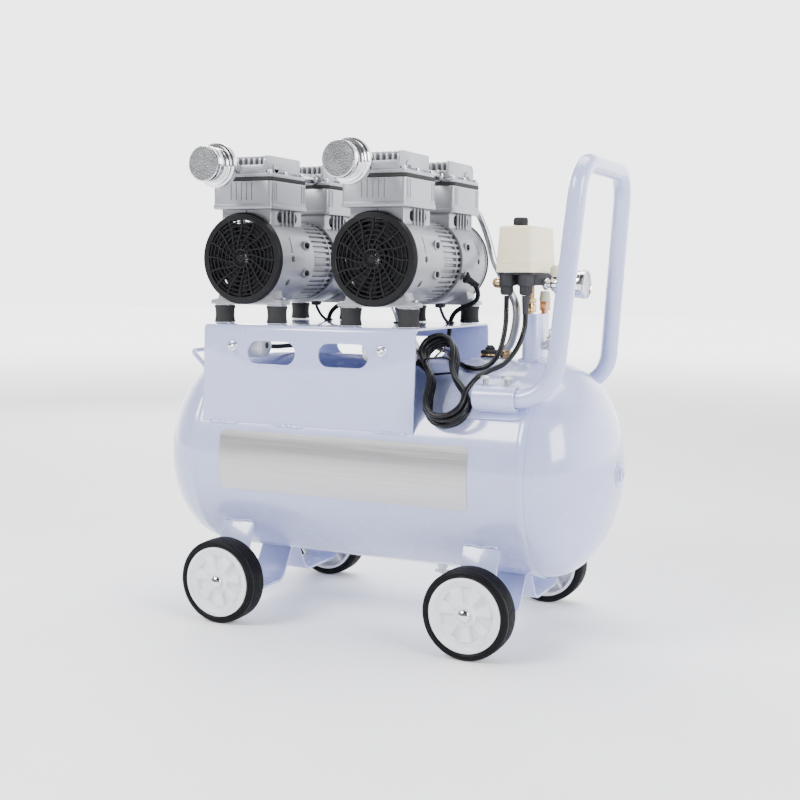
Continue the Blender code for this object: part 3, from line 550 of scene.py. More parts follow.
def even(points, spacing):
    """The same path with points every spacing along it."""
    path = [Vector(p) for p in points]
    lengths = [0.0]
    for a, b in zip(path, path[1:]):
        lengths.append(lengths[-1] + (b - a).length)
    count = max(2, round(lengths[-1] / spacing))
    result, index = [], 0
    for i in range(count + 1):
        target = lengths[-1] * i / count
        while index < len(path) - 2 and lengths[index + 1] < target:
            index += 1
        gap = lengths[index + 1] - lengths[index]
        result.append(path[index].lerp(path[index + 1], (target - lengths[index]) / gap
                                       if gap else 0))
    return result


def smooth_route(points, spacing):
    """Points every spacing along a Catmull-Rom curve, its first and last stretches straight."""
    path = [Vector(point) for point in points]
    fine = [path[0]]
    for p0, p1, p2, p3 in zip(path, path[1:], path[2:], path[3:]):
        for i in range(24):
            t = i / 24
            fine.append(0.5 * (2 * p1 + (p2 - p0) * t + (2 * p0 - 5 * p1 + 4 * p2 - p3) * t ** 2
                               + (3 * p1 - p0 - 3 * p2 + p3) * t ** 3))
    fine += [path[-2], path[-1]]
    return even(fine, spacing)


# ---------------------------------------------------------------- pieces

def piece(name, parts, body="frame", stands_for=(), angle=35.0):
    """One object from (shape, surface) pairs, riding on a body and standing for CAD nodes."""
    mesh = bpy.data.meshes.new(name)
    whole = bmesh.new()
    names = []
    for shape, finish in parts:
        if finish not in names:
            names.append(finish)
        for face in shape.faces:
            face.material_index = names.index(finish)
        part = bpy.data.meshes.new("part")
        shape.to_mesh(part)
        shape.free()
        whole.from_mesh(part)
        bpy.data.meshes.remove(part)
    bmesh.ops.transform(whole, matrix=TO_METRES, verts=whole.verts)
    whole.to_mesh(mesh)
    whole.free()
    mesh.shade_smooth()
    mesh.set_sharp_from_angle(angle=math.radians(angle))
    for finish in names:
        mesh.materials.append(surface(finish))
    thing = bpy.data.objects.new(name, mesh)
    bpy.context.scene.collection.objects.link(thing)
    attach(thing, body)
    if stands_for:
        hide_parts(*stands_for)
    return thing


def cable(name, points, radius, finish, body="frame", stands_for=()):
    """A cable as one open curve through its points."""
    curve = bpy.data.curves.new(name, "CURVE")
    curve.dimensions = "3D"
    curve.bevel_depth = radius * MM
    curve.bevel_resolution = 5
    curve.use_fill_caps = True
    spline = curve.splines.new("POLY")
    spline.points.add(len(points) - 1)
    for point, where in zip(spline.points, points):
        point.co = (*place(where), 1)
    spline.use_smooth = True
    curve.materials.append(surface(finish))
    thing = bpy.data.objects.new(name, curve)
    bpy.context.scene.collection.objects.link(thing)
    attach(thing, body)
    if stands_for:
        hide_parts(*stands_for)
    return thing


# ---------------------------------------------------------------- cords

HANK_NORMAL = Vector((0, -0.794, 0.608)).normalized()
HANK_DOWN = Vector((0, -0.608, -0.794)).normalized()
LEAD = 3.5


def on_hank(x, down, out):
    return Vector((x, 0, TANK_Z)) + HANK_NORMAL * out + HANK_DOWN * down


def hank_turns(turns=4, layer=7.05, outer=181.0):
    """The pinched loops of the hank, one steady spiral from the outside in to the tank."""
    (ax, a_down, _), (bx, b_down, _) = HANK_FOLDS
    span = Vector((ax - bx, a_down - b_down))
    rim = []
    for i in range(145):
        across, down = math.cos(i * math.tau / 144), math.sin(i * math.tau / 144)
        x, s, r = max(HANK_FOLDS, key=lambda fold: fold[0] * across + fold[1] * down + fold[2])
        rim.append((x + r * across, s + r * down, 0))
    ring = even(rim, 8.0)[:-1]
    points = []
    for turn in range(turns):
        for index, (x, s, _) in enumerate(ring):
            part = index / len(ring)
            off = Vector((x - bx, s - b_down))
            along = off.dot(span) / span.length_squared
            if 0 < along < 0.97:
                pull = WAIST_PULL * (1 - math.cos(math.tau * along / 0.97))
                side = (off - span * along).normalized()
                x, s = x - side.x * pull, s - side.y * pull
            dx, ds = (p + (q - p) * part for p, q in zip(HANK_LEANS[turn], HANK_LEANS[turn + 1]))
            low = max(-0.5, min(1.0, 1.5 * along - 0.5))
            points.append((x + dx * low, s + ds * low, outer - layer * (turn + part)))
    return points


def make_mains():
    """The supply lead from its gland to the hank by the platform, the hank, tie and plug."""
    gland = GLANDS[1]
    lead = [(*gland, 473.7), (*gland, 455), (218, -42, 430), (214, -58, 404), (205, -82, 384),
            *(on_hank(*p) for p in [(194, -51, 169), (184, -37, 176.5), (177, -21, 180),
                                    (173, -7, 181)])]
    turns = hank_turns()
    hank = [on_hank(*p) for p in turns]
    last = turns[-1][2]
    finish = [(171, 4, last), (163, 22, last), (143, 30.5, last), (124, 22, last - 0.5),
              (116.5, 8, last - 1), (112, -12, last - 2), (106, -31, last - 4), (98, -49, last - 6),
              (86, -64, 145.5)]
    tail = [on_hank(*p) for p in finish] + [Vector((70, -68.5, 379.0)), Vector((55, -69.2, 379.6))]
    route = smooth_route([*lead, *hank, *tail], 4.0)
    plug_at, plug_turn = Vector((31, -69.2,
                                 379.6)), Matrix.Rotation(math.atan2(69.2, 146.6), 4, "X")
    mains = cable("mains_cord", route, LEAD, "cable", stands_for=("mains_lead", "mains_hank"))
    across = Matrix.Rotation(math.pi / 2, 4, "Y")
    relief = turned([(0, 50), (4.2, 50), (4.6, 44), (4.9, 43), (5.2, 36), (5.6, 35), (6.0, 28),
                     (6.6, 27), (7.2, 21), (0, 21)], segments=24)
    relief = moved(relief, (0, 0, 0), across)
    body = rounded(box((-20, -14, -11), (22, 14, 11)), 4.0, 3)
    ridges = [box((-12 + i * 6, -14.0, -11.0), (-9 + i * 6, 14.0, 11.0), 3.0, 2) for i in range(5)]
    pins = [rounded(box((-21.9, y - 3.2, -0.8), (-19, y + 3.2, 0.8)), 0.3, 1) for y in (-6, 6)]
    plug = moved(merged([body, relief, *ridges]), plug_at, plug_turn)
    pins = moved(merged(pins), plug_at, plug_turn)
    plug = piece("supply_plug", [(plug, "black_plastic"), (pins, "brass")],
                 stands_for=("mains_plug",))
    tie_path = [on_hank(x, s, out) for x, s, out in
                [(100, -50, 166), (103, -51, 186), (119, -54, 188.0), (134, -56, 186),
                 (138, -57, 168),
                 (134, -56, 152), (119, -54, 150), (103, -51, 152), (100, -50, 166)]]
    tie = sweep(smooth_route([tie_path[-2], *tie_path, tie_path[1]], 2.0), 1.5, 10)
    ends = sweep(smooth_route([on_hank(x, s, out) for x, s, out in
                               [(117, -54, 187), (119, -55, 189), (124, -60, 191), (127, -66, 190),
                                (129, -71, 189), (130, -73, 189)]], 2.0), 1.4, 8)
    tie = piece("cord_tie", [(merged([tie, ends]), "cable")])
    gland_relief = turned([(0, 474.2), (5.2, 474.2), (5.0, 466), (4.5, 457), (4.0, 449), (0, 449)],
                          (*gland, 0), "Z", 24)
    sleeve = piece("mains_strain_relief", [(gland_relief, "black_plastic")])


def make_motor_leads():
    for side, x in PUMP_X.items():
        hole = (x + 27, 74)
        route = [(x + 63.6, 44, 497), (x + 72, 50.5, 490.5), (x + 77, 58, 479), (x + 73, 66, 466),
                 (x + 60, 71.5, 458), (x + 44, 73.5, 452), (x + 32, 74, 442), (*hole, 428),
                 (hole[0], 72, 415)]
        if side == "left":
            route += [(x + 24, 61, 403), (x + 18, 42, 396), (x + 10, 18, 393), (x, -30, 392),
                      (x - 5, -62, 394), (x - 10, -84, 396)]
        else:
            route += [(hole[0], 60, 402), (hole[0] - 6, 41, 395), (82, 14, 390.5), (98, -20, 388.5),
                      (119, -47, 383), (144, -66, 376), (166, -72, 375), (183, -70, 384),
                      (191, -60, 403), (192, -46, 432), (*GLANDS[0], 458), (*GLANDS[0], 473.7)]
        points = smooth_route(route, 4.0)
        lead = cable(f"motor_cord_{side}", points, LEAD, "cable",
                     stands_for=(f"motor_lead_{side}",))
        start, out = Vector(points[0]), (Vector(points[3]) - Vector(points[0])).normalized()
        relief = turned([(0, 22), (4.1, 22), (4.7, 12), (5.6, 4), (7.4, 3), (7.4, 0), (6, -1.5),
                         (0, -1.5)], segments=24)
        relief = moved(relief, start, out.to_track_quat("Z", "Y").to_matrix().to_4x4())
        grommet = turned([(7.2, 431.2), (7.2, 429.4), (5.4, 428.9), (5.4, 425.6), (3.7, 425.2),
                          (3.7, 431.2), (5.2, 431.9)], (*hole, 0), "Z", 24, closed=True)
        clip = [turned([(7.4, 459.4), (7.4, 454.5), (5.6, 453.5), (0, 453.5), (0, 459.4)],
                       (x + 29.4, 30, 0), "Z", 20),
                box((x + 24, 25, 455.5), (x + 37, 35, 459.5), 1.2)]
        wire = sweep(smooth_route([(x + 29.4, 30, 460), (x + 29.4, 30, 456), (x + 30, 34, 448),
                                   (x + 29.5, 48, 437), (x + 28.5, 64, 431), (x + 27.5, 71, 430),
                                   (x + 27.2, 72, 429)], 3.0), 2.2, 10)
        extras = [piece(f"motor_strain_relief_{side}", [(relief, "black_rubber")]),
                  piece(f"motor_grommet_{side}", [(grommet, "black_rubber")])]
        piece(f"motor_clip_{side}", [(merged([*clip, wire]), "black_plastic")])


# ---------------------------------------------------------------- tank and running gear

def dome_points(radius, depth, seam, angles):
    return [(radius * math.sin(math.radians(a)), seam + depth * math.cos(math.radians(a)))
            for a in angles]


def curved_sheet(low_x, high_x, low_angle, high_angle, radius, thickness, corner, steps=40,
                 rows=24):
    """Sheet on the tank's cylinder with round corners; angles run up from the front level."""
    shape = bmesh.new()
    ease = [corner * (1 - math.cos(math.pi / 2 * i / 6)) for i in range(7)]
    xs = [low_x + e for e in ease] + [low_x + corner + (high_x - low_x - 2 * corner) * i / steps
                                     for i in range(1, steps)] + [high_x - e for e in reversed(ease)]
    columns = []
    for x in xs:
        edge = min(x - low_x, high_x - x)
        inset = corner - math.sqrt(max(0.0, corner ** 2
                                       - (corner - edge) ** 2)) if edge < corner else 0
        trim = math.degrees(inset / radius)
        angles = [low_angle + trim + (high_angle - low_angle - 2 * trim) * i / rows
                  for i in range(rows + 1)]
        columns.append([shape.verts.new((x, -radius * math.cos(math.radians(a)),
                                         TANK_Z + radius * math.sin(math.radians(a))))
                        for a in angles])
    for near, far in zip(columns, columns[1:]):
        for k in range(rows):
            shape.faces.new((near[k], far[k], far[k + 1], near[k + 1]))
    bmesh.ops.recalc_face_normals(shape, faces=shape.faces)
    thing = temporary(shape)
    solid = thing.modifiers.new("Solidify", "SOLIDIFY")
    solid.thickness = thickness
    solid.offset = 0.0
    return baked(thing)


def make_tank():
    port = [(0, 347.8), (4.6, 347.8), (5.0, 348.9), (9.6, 348.9), (10.2, 348.3), (10.2, 346.2),
            (11.6, 345.8), (12.4, 345.0), (12.4, 343.8), (15.6, 343.6), (16.4, 342.4)]
    outer = port + dome_points(TANK_RADIUS, DOME, SEAM_X, [9 + 3 * i for i in range(28)])
    bead = [(150.0, SEAM_X + 7), (150.5, SEAM_X + 5.6), (151.3, SEAM_X + 3), (151.6, SEAM_X),
            (151.3, SEAM_X - 3), (150.5, SEAM_X - 5.6), (150.0, SEAM_X - 7)]
    profile = outer + bead
    profile += [(r, -h) for r, h in reversed(profile)]
    shell = turned(profile, (0, 0, TANK_Z), "X", 160)
    loop = sweep(even(fillet([(-286, -50, 350), (-320, -50, 382), (-320, 50, 382), (-286, 50, 350)],
                             (9, 9), 8), 4.0), 3.5, 14)
    beads = [weld([(-283 - 2 * math.cos(a), side * 50 + 5 * math.sin(a), 352 - 3 * math.cos(a))
                   for a in (2 * math.pi * i / 12 for i in range(13))], 1.8, 3) for side in (-1, 1)]
    seam = weld([(x, 148.2, TANK_Z - 24.5) for x in range(-244, 245, 8)], 1.6, 4)
    port_bead = [weld([(sx * 342.6, 16 * math.sin(a), TANK_Z + 16 * math.cos(a))
                       for a in (2 * math.pi
                                 * i / 24 for i in range(25))], 1.7, 5) for sx in (-1, 1)]
    drain = turned([(11, 83.2), (11, 80.4), (9.6, 79), (6.2, 79), (6.2, 84)], (84.5, 0, 0), "Z", 32,
                   closed=True)
    piece("air_tank", [(merged([shell, loop, *beads, seam, *port_bead, drain]), "paint")],
          stands_for=("tank",), angle=30)
    label = curved_sheet(-204, 180, -15.9, 17.1, 150.35, 0.6, 9)
    piece("blank_name_plate", [(label, "plate")])



FOOT = [(-118.5, 139.0), (-130.5, 106.0), (-137.0, 78.0), (-137.0, 36.0), (-37.0, 36.0),
        (-10.0, 80.6)]


def make_foot(end, x):
    corners = FOOT + [(-y, z) for y, z in reversed(FOOT)]
    path = fillet([(y, z, 0) for y, z in corners], (25, 25, 14, 22, 6, 6, 22, 14, 25, 25), 9)
    bracket = strip([(p.x, p.y) for p in path], x - 26, x + 26, 4.0, 0.8)
    beads = []
    for side in (-1, 1):
        beads.append(weld([(x - 25 + i * 5, side * 119.5, 140.6 + 1.3 * math.sin(i))
                           for i in range(11)],
                          2.6, 7))
        beads += [weld([(x + edge * 25.5, side * (119.0 + t * 1.4), 139 - t * 4) for t in range(4)],
                       2.0, 9) for edge in (-1, 1)]
    beads.append(weld([(x - 24 + i * 6, -9, 82.2) for i in range(9)], 2.0, 8))
    beads.append(weld([(x - 24 + i * 6, 9, 82.2) for i in range(9)], 2.0, 6))
    metal = []
    for axis in ("front", "back"):
        metal.append(turned([(0, 185), (2.2, 184.8), (5.4, 183.7), (8.0, 182.0), (9.4, 180.0),
                             (9.5, 178.3), (6, 178.2), (6, 144.4), (9, 144.2), (9, 139.2), (11.5, 139),
                             (11.5, 137.6), (0, 137.6)], (x, 0, WHEEL_Z), axis, 40))
        metal.append(hexagon(15, -134.9, -128.5, (x, 0, WHEEL_Z), "back" if axis == "front"
                             else "front"))
    piece(f"foot_{end}", [(merged([bracket, *beads]), "paint"), (merged(metal), "chrome")],
          stands_for=(f"foot_bracket_{end}",))


def tyre_profile():
    """Section of a solid tyre with grooves round its tread and a rim line on each side."""
    tread = []
    low, high, grooves = 149.5, 174.5, 6
    pitch = (high - low) / grooves
    for i in range(grooves):
        y = high - i * pitch
        crown = 60.65 - 0.5 * abs((y - 162) / 13) ** 2
        tread += [(crown, y - 0.5), (crown, y - pitch + 1.7), (crown - 1.5, y - pitch + 1.2),
                  (crown - 1.5, y - pitch + 0.4)]
    return [(50.7, 178.3), (52.0, 179.3), (53.0, 179.9), (54.6, 179.9), (55.2, 179.2),
            (55.9, 179.4),
            (58.0, 178.6), (59.6, 177.2), (60.3, 175.6)] + tread + [
            (60.3, 148.6), (59.4, 146.8), (57.5, 145.2), (54.0, 144.1), (52.5, 144.1), (50.7, 145.6)]


def hub_face(side):
    """The outer face of a hub: seven raised petals in a dished ring round the boss."""
    petals, per_petal = 7, 26
    around = petals * per_petal
    radii = [6.5, 9.0, 12.6, 13.4, 14.0, 15.5, 17.5, 20, 23, 26, 29, 32, 34, 35.5, 36.5, 37.5, 39,
             41.5, 43.5, 45, 46.2, 47.2, 48.2, 49.4, 50.1]
    shape = bmesh.new()
    rings = []
    for r in radii:
        ring = []
        for i in range(around):
            t = (i % per_petal) / per_petal
            step = min(1.0, max(0.0, min((0.56 - t) * 16, t * 16)))
            if r < 13.0:
                y = 178.0
            elif r < 14.3:
                y = 177.2
            elif r < 36:
                fan = 0.35 + 0.65 * (r - 14.3) / 22
                y = 167.6 + (8.8 - 2.4 * t / 0.56) * step * fan + 5.0 * (1 - fan)
            elif r < 38:
                y = 167.6 + (8.8 - 2.4 * t / 0.56) * step * (38 - r) / 2 + (r - 36) * 2.3
            elif r < 46:
                y = 172.2 + (r - 38) * 0.35
            else:
                y = min(179.2, 175.0 + (r - 46) * 3.6)
            if r > 49.9:
                y = 178.9
            a = 2 * math.pi * i / around
            ring.append(shape.verts.new((r * math.cos(a), r * math.sin(a), y)))
        rings.append(ring)
    for near, far in zip(rings, rings[1:]):
        for i in range(around):
            j = (i + 1) % around
            shape.faces.new((near[i], far[i], far[j], near[j]))
    back = [(50.1, 178.9), (50.2, 178.0), (50.2, 145.4), (49.6, 144.9), (46.4, 144.9), (46.0, 146),
            (46.0, 164), (14, 164), (14, 146), (13.4, 144.9), (6.5, 144.9), (6.5, 178.0)]
    face = moved(shape, (0, 0, 0), TURNS[side])
    barrel = turned(back, (0, 0, 0), side, 96)
    ribs = []
    for i in range(7):
        rib = box((15, -1.3, 147), (46, 1.3, 165))
        ribs.append(moved(moved(rib, (0, 0, 0), Matrix.Rotation(2 * math.pi * i / 7, 4, "Z")),
                          (0, 0, 0), TURNS[side]))
    return merged([face, barrel, *ribs])


def make_wheels():
    for end, x in (("left", -WHEEL_X), ("right", WHEEL_X)):
        make_foot(end, x)
        for side, axis in (("front", "front"), ("rear", "back")):
            tyre = turned(tyre_profile(), (x, 0, WHEEL_Z), axis, 112, closed=True)
            piece(f"wheel_tyre_{side}_{end}", [(tyre, "tyre")], f"wheel_{side}_{end}",
                  (f"tyre_{side}_{end}",), 25)
            hub = moved(hub_face(axis), (x, 0, WHEEL_Z))
            piece(f"wheel_hub_{side}_{end}", [(hub, "white_plastic")], f"wheel_{side}_{end}",
                  (f"hub_{side}_{end}",), 30)


# ---------------------------------------------------------------- platform

def make_platform():
    top = 427.2
    corners = [(-139.3, 288.4, 0), (-133.3, top, 0), (133.3, top, 0), (139.3, 288.4, 0)]
    path = [(p.x, p.y) for p in fillet(corners, (8, 8), 10)]
    sheet = strip(path, -238, 98, 3.0, 0.0001)
    tools = [plate([obround(78.4, 32.8, 16)], 330, (x, 0, 389.0)) for x in (-125.6, -11.0)]
    tools += [rod(3.4, 125, 150, (x, 0, 397.6), "front", 20) for x in CAPACITORS.values()]
    holes = [(x + 27, 74, 5.5) for x in PUMP_X.values()] + [(-9, 40, 7.5)]
    tools += [rod(r, 420, 435, (x, y, 0), "Z", 28) for x, y, r in holes]
    tools.append(rod(TANK_RADIUS + 0.3, -300, 300, (0, 0, TANK_Z), "X", 128))
    sheet = rounded(boolean(sheet, tools), 0.7, 2, 50)
    beads = []
    for sign in (-1, 1):
        for start in (-226, -120, 40):
            beads.append(weld([(start + i * 8, sign * 140.4, 287.2 + 0.5 * math.sin(i))
                               for i in range(7)], 2.4, start + 300))
        for x in (-236.5, 96.5):
            beads.append(weld([(x, sign * (139.8 - 0.5 * i), 289 + i * 3) for i in range(4)], 2.0,
                              12))
    piece("platform", [(merged([sheet, *beads]), "paint")], stands_for=("pump_platform",))


def make_capacitors():
    for end, x in CAPACITORS.items():
        can = turned([(0, 37.5), (12.0, 37.5), (13.6, 36.9), (14, 36), (14, 34.6), (16.6, 34.4),
                      (17.5, 33.4), (17.5, -35), (16.4, -37.2), (15, -37.5), (0, -37.5)],
                     (x, -105, 397.6), "X", 56)
        end_disc = rod(4.6, 37.0, 37.9, (x, -105, 397.6), "X", 32, 0.2)
        nut = moved(acorn_nut((0, 0, 0), "front", 11.5), (x, -136.0, 397.6))
        stud = rod(3.0, 110, 137, (x, 0, 397.6), "front", 16)
        piece(f"run_capacitor_{end}", [(can, "white_plastic"), (end_disc, "ink"),
                                       (merged([nut, stud]), "chrome")],
              stands_for=(f"capacitor_{end}",))


# ---------------------------------------------------------------- pumps

def casting(x, face):
    """Crankcase, neck, cylinder block and feet in one casting, with its raised and cut detail."""
    axis, sign = ("front", -1) if face == "front" else ("back", 1)

    def span(near, far):
        return sorted((sign * near, sign * far))

    centre = (x, 0, PUMP_Z)
    barrel = turned([(0, 128), (62.2, 128), (63, 127.2), (63, 36), (62.4, 34.3), (0, 34.3)], centre,
                    axis, 128)
    neck_y, block_y = span(35, 122), span(*BLOCK_Y)
    neck = box((x - 41, neck_y[0], 560), (x + 41, neck_y[1], 592.5), 2.5, 3)
    outline = rectangle((-49, block_y[0]), (49, block_y[1]), 6.0, 6)
    lower = plate([outline], 6.5, (x, 0, 594.75), "XY", bevel=0.7)
    upper = plate([rectangle((-48, block_y[0] + 0.9), (48, block_y[1] - 0.9), 5.5, 6)], 33.0,
                  (x, 0, 613.5), "XY", bevel=0.5)
    foot_y = span(97, 124)
    web = plate([[(-59, -65.3), (59, -65.3), (59, -60.2), (57.5, -59.0), (47, -57), (42, -38),
                  (38, -20),
                  (-38, -20), (-42, -38), (-47, -57), (-57.5, -59.0), (-59, -60.2)]],
                foot_y[1] - foot_y[0], (x, sum(foot_y) / 2, PUMP_Z), bevel=1.2)
    whole = boolean(barrel, [neck, lower, upper, web], "UNION")
    tools = [rod(59, 48, 129, centre, axis, 64), rod(59, 33.3, 42, centre, axis, 64),
             rod(6.4, 30, 60, centre, axis, 24)]
    hollow = span(50, 114)
    tools.append(box((x - 35, hollow[0], 560), (x + 35, hollow[1], 588.5)))
    tools.append(rod(28, 580, 640, (x, sign * 83, 0), "Z", 48))
    tools.append(plate([obround(56, 15, 10)], 200, (x, sign * 77, 580.5), "YZ"))
    tools += [plate([obround(14.5, 8.6, 6)], 200, (x, sign * 55.5, PUMP_Z + dz),
                    "YZ") for dz in (-20, 20)]
    tools += [rod(4.6, -80, 80, (x, sign * 96, PUMP_Z + dz), "X", 28) for dz in (0, -33)]
    grooves = [box((x + dx - 0.8, sign * 134.6 - 2, 604), (x + dx + 0.8, sign * 134.6 + 2, 628))
               for dx in (-17, -8.5, 0, 8.5, 17)]
    for y in (37.5, 42.5, 47.5, 117.5, 122.5, 127.5):
        grooves.append(box((x - 50, sign * y - 0.9, 603), (x - 46.7, sign * y + 0.9, 628)))
        grooves.append(box((x + 46.7, sign * y - 0.9, 603), (x + 50, sign * y + 0.9, 628)))
    tools.append(merged(grooves))
    slots = [moved(box((-2.5, -1.1, -13), (9, 1.1, 13)), (x + dx, sign * 97, 543),
                   Matrix.Rotation(math.radians(sign * 9), 4, "X")) for dx in (57, -64)]
    tools.append(merged(slots))
    whole = boolean(whole, tools)
    extras = []
    for edge in (-1, 1):
        for y in (60, 71, 82, 93):
            extras.append(box((x + edge * 42.2 - 1.6, sign * y - 1.5, 561.5),
                              (x + edge * 42.2 + 1.6, sign * y + 1.5, 592), 0.9, 2))
        for dz in (-20, 20):
            ring = plate([obround(20.5, 14.5, 7), obround(14.5, 8.6, 6)], 3.8,
                         (x + edge * 60.2, sign * 55.5, PUMP_Z + dz), "YZ", bevel=0.8)
            extras.append(ring)
    extras.append(box((x - 1.2, sign * 122.4 - 0.9, 583), (x + 1.2, sign * 122.4 + 0.9, 592), 0.5))
    bolts = [bolt((x + dx, sign * 103, 462.2), "Z", 7, 3.4) for dx in (-50.5, 50.5)]
    rim = turned([(63.1, 127.8), (64.0, 127.2), (64.0, 124.4), (63.1, 123.8), (62.4, 125.6)],
                 centre, axis,
                 128, closed=True)
    extras.append(rim)
    return [whole, *extras], bolts


def grille(x, axis, outer, depth):
    """A fan cover: wide rim, swept spokes, rings and a slotted hub round a dimpled centre."""
    back, front = 128.3, 128.3 + depth
    shapes = [turned([(54.5, back), (54.5, front - 1.2), (55.3, front - 0.2), (62.6, front - 1.0),
                      (outer - 0.4, front - 4.4), (outer, front - 5.4), (outer, back)], (0, 0, 0),
                     "Z", 112, closed=True)]
    for r in (19.5, 26, 32.5, 39, 45.5, 51.5):
        shapes.append(turned([(r - 0.85, front - 1.6), (r + 0.85, front - 1.6),
                              (r + 0.85, front - 4.0),
                              (r - 0.85, front - 4.0)], (0, 0, 0), "Z", 96, closed=True))
    for i in range(16):
        line = []
        for k in range(13):
            t = k / 12
            r = 12.4 + 42.6 * t
            a = math.radians(i * 22.5 - 24 * t - 9 * math.sin(math.pi * t))
            line.append((r, a))
        left, right = [], []
        for k, (r, a) in enumerate(line):
            half = 0.95 + 0.35 * k / 12
            left.append((r * math.cos(a) - half * math.sin(a), r * math.sin(a) + half
                         * math.cos(a)))
            right.append((r * math.cos(a) + half * math.sin(a), r * math.sin(a) - half
                          * math.cos(a)))
        shapes.append(plate([left + right[::-1]], 3.4, (0, 0, front - 2.3), "XY"))
    shapes.append(turned([(11.8, front - 0.4), (13.4, front - 0.8), (13.4, front - 4),
                          (11.8, front - 4)],
                         (0, 0, 0), "Z", 64, closed=True))
    shapes += [moved(box((4.2, -0.55, front - 3.6), (12.2, 0.55, front - 0.9)), (0, 0, 0),
                     Matrix.Rotation(math.radians(18 * i), 4, "Z")) for i in range(20)]
    shapes.append(turned([(0, front - 1.6), (1.6, front - 1.4), (2.4, front - 0.5),
                          (4.0, front - 0.5),
                          (4.8, front
                           - 1.0), (4.8, front - 4), (0, front - 4)], (0, 0, 0), "Z", 32))
    return moved(merged(shapes), (x, 0, PUMP_Z), TURNS[axis])


def make_stator(side, x):
    fins, outline = 44, []
    for i in range(fins):
        a = i * 360.0 / fins
        p = 360.0 / fins
        outline += [*arc(56.2, a, a + p * 0.42, 1), *arc(59.2, a + p * 0.50, a + p * 0.92, 2)]
    body = plate([outline, circle(41, 48)], 68.0, (x, 0, PUMP_Z))
    bands = [turned([(59.6, y + 1.3), (59.6, y - 1.3), (56.0, y - 1.5), (56.0, y + 1.5)],
                    (x, 0, PUMP_Z),
                    "back", 96, closed=True) for y in (-32.5, 20.0)]
    coils = [turned([(52, 33), (55, 31), (55, 28), (42, 28), (42, 31), (45, 33)], (x, 0, PUMP_Z),
                    axis,
                    48, closed=True) for axis in ("front", "back")]
    piece(f"stator_{side}", [(merged([body, *bands]), "casting"), (merged(coils), "copper")],
          stands_for=(f"pump_{side}_stator",), angle=25)


def make_rotor(side, x):
    shaft = turned([(0, 125), (3, 125), (6, 123), (6, 32), (38.6, 32), (38.6, -32), (6, -32),
                    (6, -123),
                    (3, -125), (0, -125)], segments=64)
    nuts = [hexagon(15, 119.5, 124, (0, 0, 0)), hexagon(15, -124, -119.5, (0, 0, 0))]
    fans = []
    for sign in (-1, 1):
        low, high = sorted((sign * 109, sign * 118.5))
        fans.append(turned([(6.2, high + 0.4), (14, high + 0.2), (15, high - 2), (15, low),
                            (6.2, low)],
                           segments=40, closed=True))
        fans.append(turned([(15, sign * 109), (51.8, sign * 109), (51.8, sign * 110.6),
                            (15, sign * 110.6)], segments=64, closed=True))
        for i in range(12):
            blade = moved(box((14.5, -0.9, -4.5), (51.5, 0.9, 4.4), 0.4),
                          (0, 0, sign * 114), Matrix.Rotation(math.radians(28), 4, "X"))
            fans.append(moved(blade, (0, 0, 0), Matrix.Rotation(math.radians(30 * i), 4, "Z")))
    turn = TURNS["front"]
    piece(f"rotor_{side}", [(moved(merged([shaft, *nuts]), (x, 0, PUMP_Z), turn), "steel"),
                            (moved(merged(fans), (x, 0, PUMP_Z), turn), "black_plastic")],
          f"rotor_{side}", (f"pump_{side}_rotor",))


def side_plate(length, height, radius):
    return [(-length / 2, 0), (length / 2, 0), *arc(radius, 0, 90, 6, (length / 2 - radius,
                                                                       height - radius)),
            *arc(2.0, 90, 180, 3, (-length / 2 + 2, height - 2))]


def make_head(side, x, face):
    sign = -1 if face == "front" else 1
    y = sign * 83
    flip = Matrix.Identity(4) if sign > 0 else Matrix.Rotation(math.pi, 4, "Z")
    gasket = plate([rectangle((-48.2, -50.9), (48.2, 50.9), 6.5, 6)], 5.2, (x, y, 633.2), "XY",
                   bevel=0.5)
    flange = plate([rectangle((-47.5, -50.0), (47.5, 50.0), 6.0, 6)], 4.8, (x, y, 638.1), "XY",
                   bevel=0.8)
    body = box((x - 37.6, y - 47.6, 639), (x + 37.6, y + 47.6, 653), 1.6, 2)
    shapes = [flange, body]
    for dx in (-36, 36):
        wall = plate([side_plate(96, 26.4, 9)], 4.2, (0, 0, 0), "YZ", bevel=0.9)
        shapes.append(moved(wall, (x + dx, y, 639.6), flip))
    for i in range(7):
        fin = plate([side_plate(92, 15.5, 6)], 3.6, (0, 0, 0), "YZ", bevel=0.7)
        shapes.append(moved(fin, (x + (i - 3) * 9.0, y, 649.5), flip))
    for dx in (-1, 1):
        low, high = sorted((x + dx * 37.4, x + dx * 39.8))
        shapes.append(rod(6.6, low, high, (0, y + sign * 21, 648.5), "X", 36, 0.7))
        shapes.append(box((low, y + sign * 21 - 6.6, 641), (high, y + sign * 21 + 6.6, 648.5), 0.8))
    bolts = []
    for dx in (-42.6, 42.6):
        for dy in (-44, -2, 44):
            bolts.append(bolt((x + dx, y + dy, 640.4), "Z", 6.6, 4.2))
    parts = [(merged(shapes), "casting"), (gasket, "black_rubber"), (merged(bolts), "zinc")]
    if face == "rear":
        tube_x = x + 24
        crossover = [rod(6.2, -36, 38, (tube_x, 0, 643.8), "back", 40),
                     rod(8.6, -35.6, -26, (tube_x, 0, 643.8), "back", 40, 1.0),
                     rod(8.6, 26, 35.6, (tube_x, 0, 643.8), "back", 40, 1.0),
                     turned([(7.2, 1), (7.6, 0), (7.2, -1), (6, -1), (6, 1)], (tube_x, -22, 643.8),
                            "back", 40, closed=True)]
        parts.append((merged(crossover), "pipe"))
    piece(f"head_{face}_{side}", parts, stands_for=(f"pump_{side}_{face}_head",))


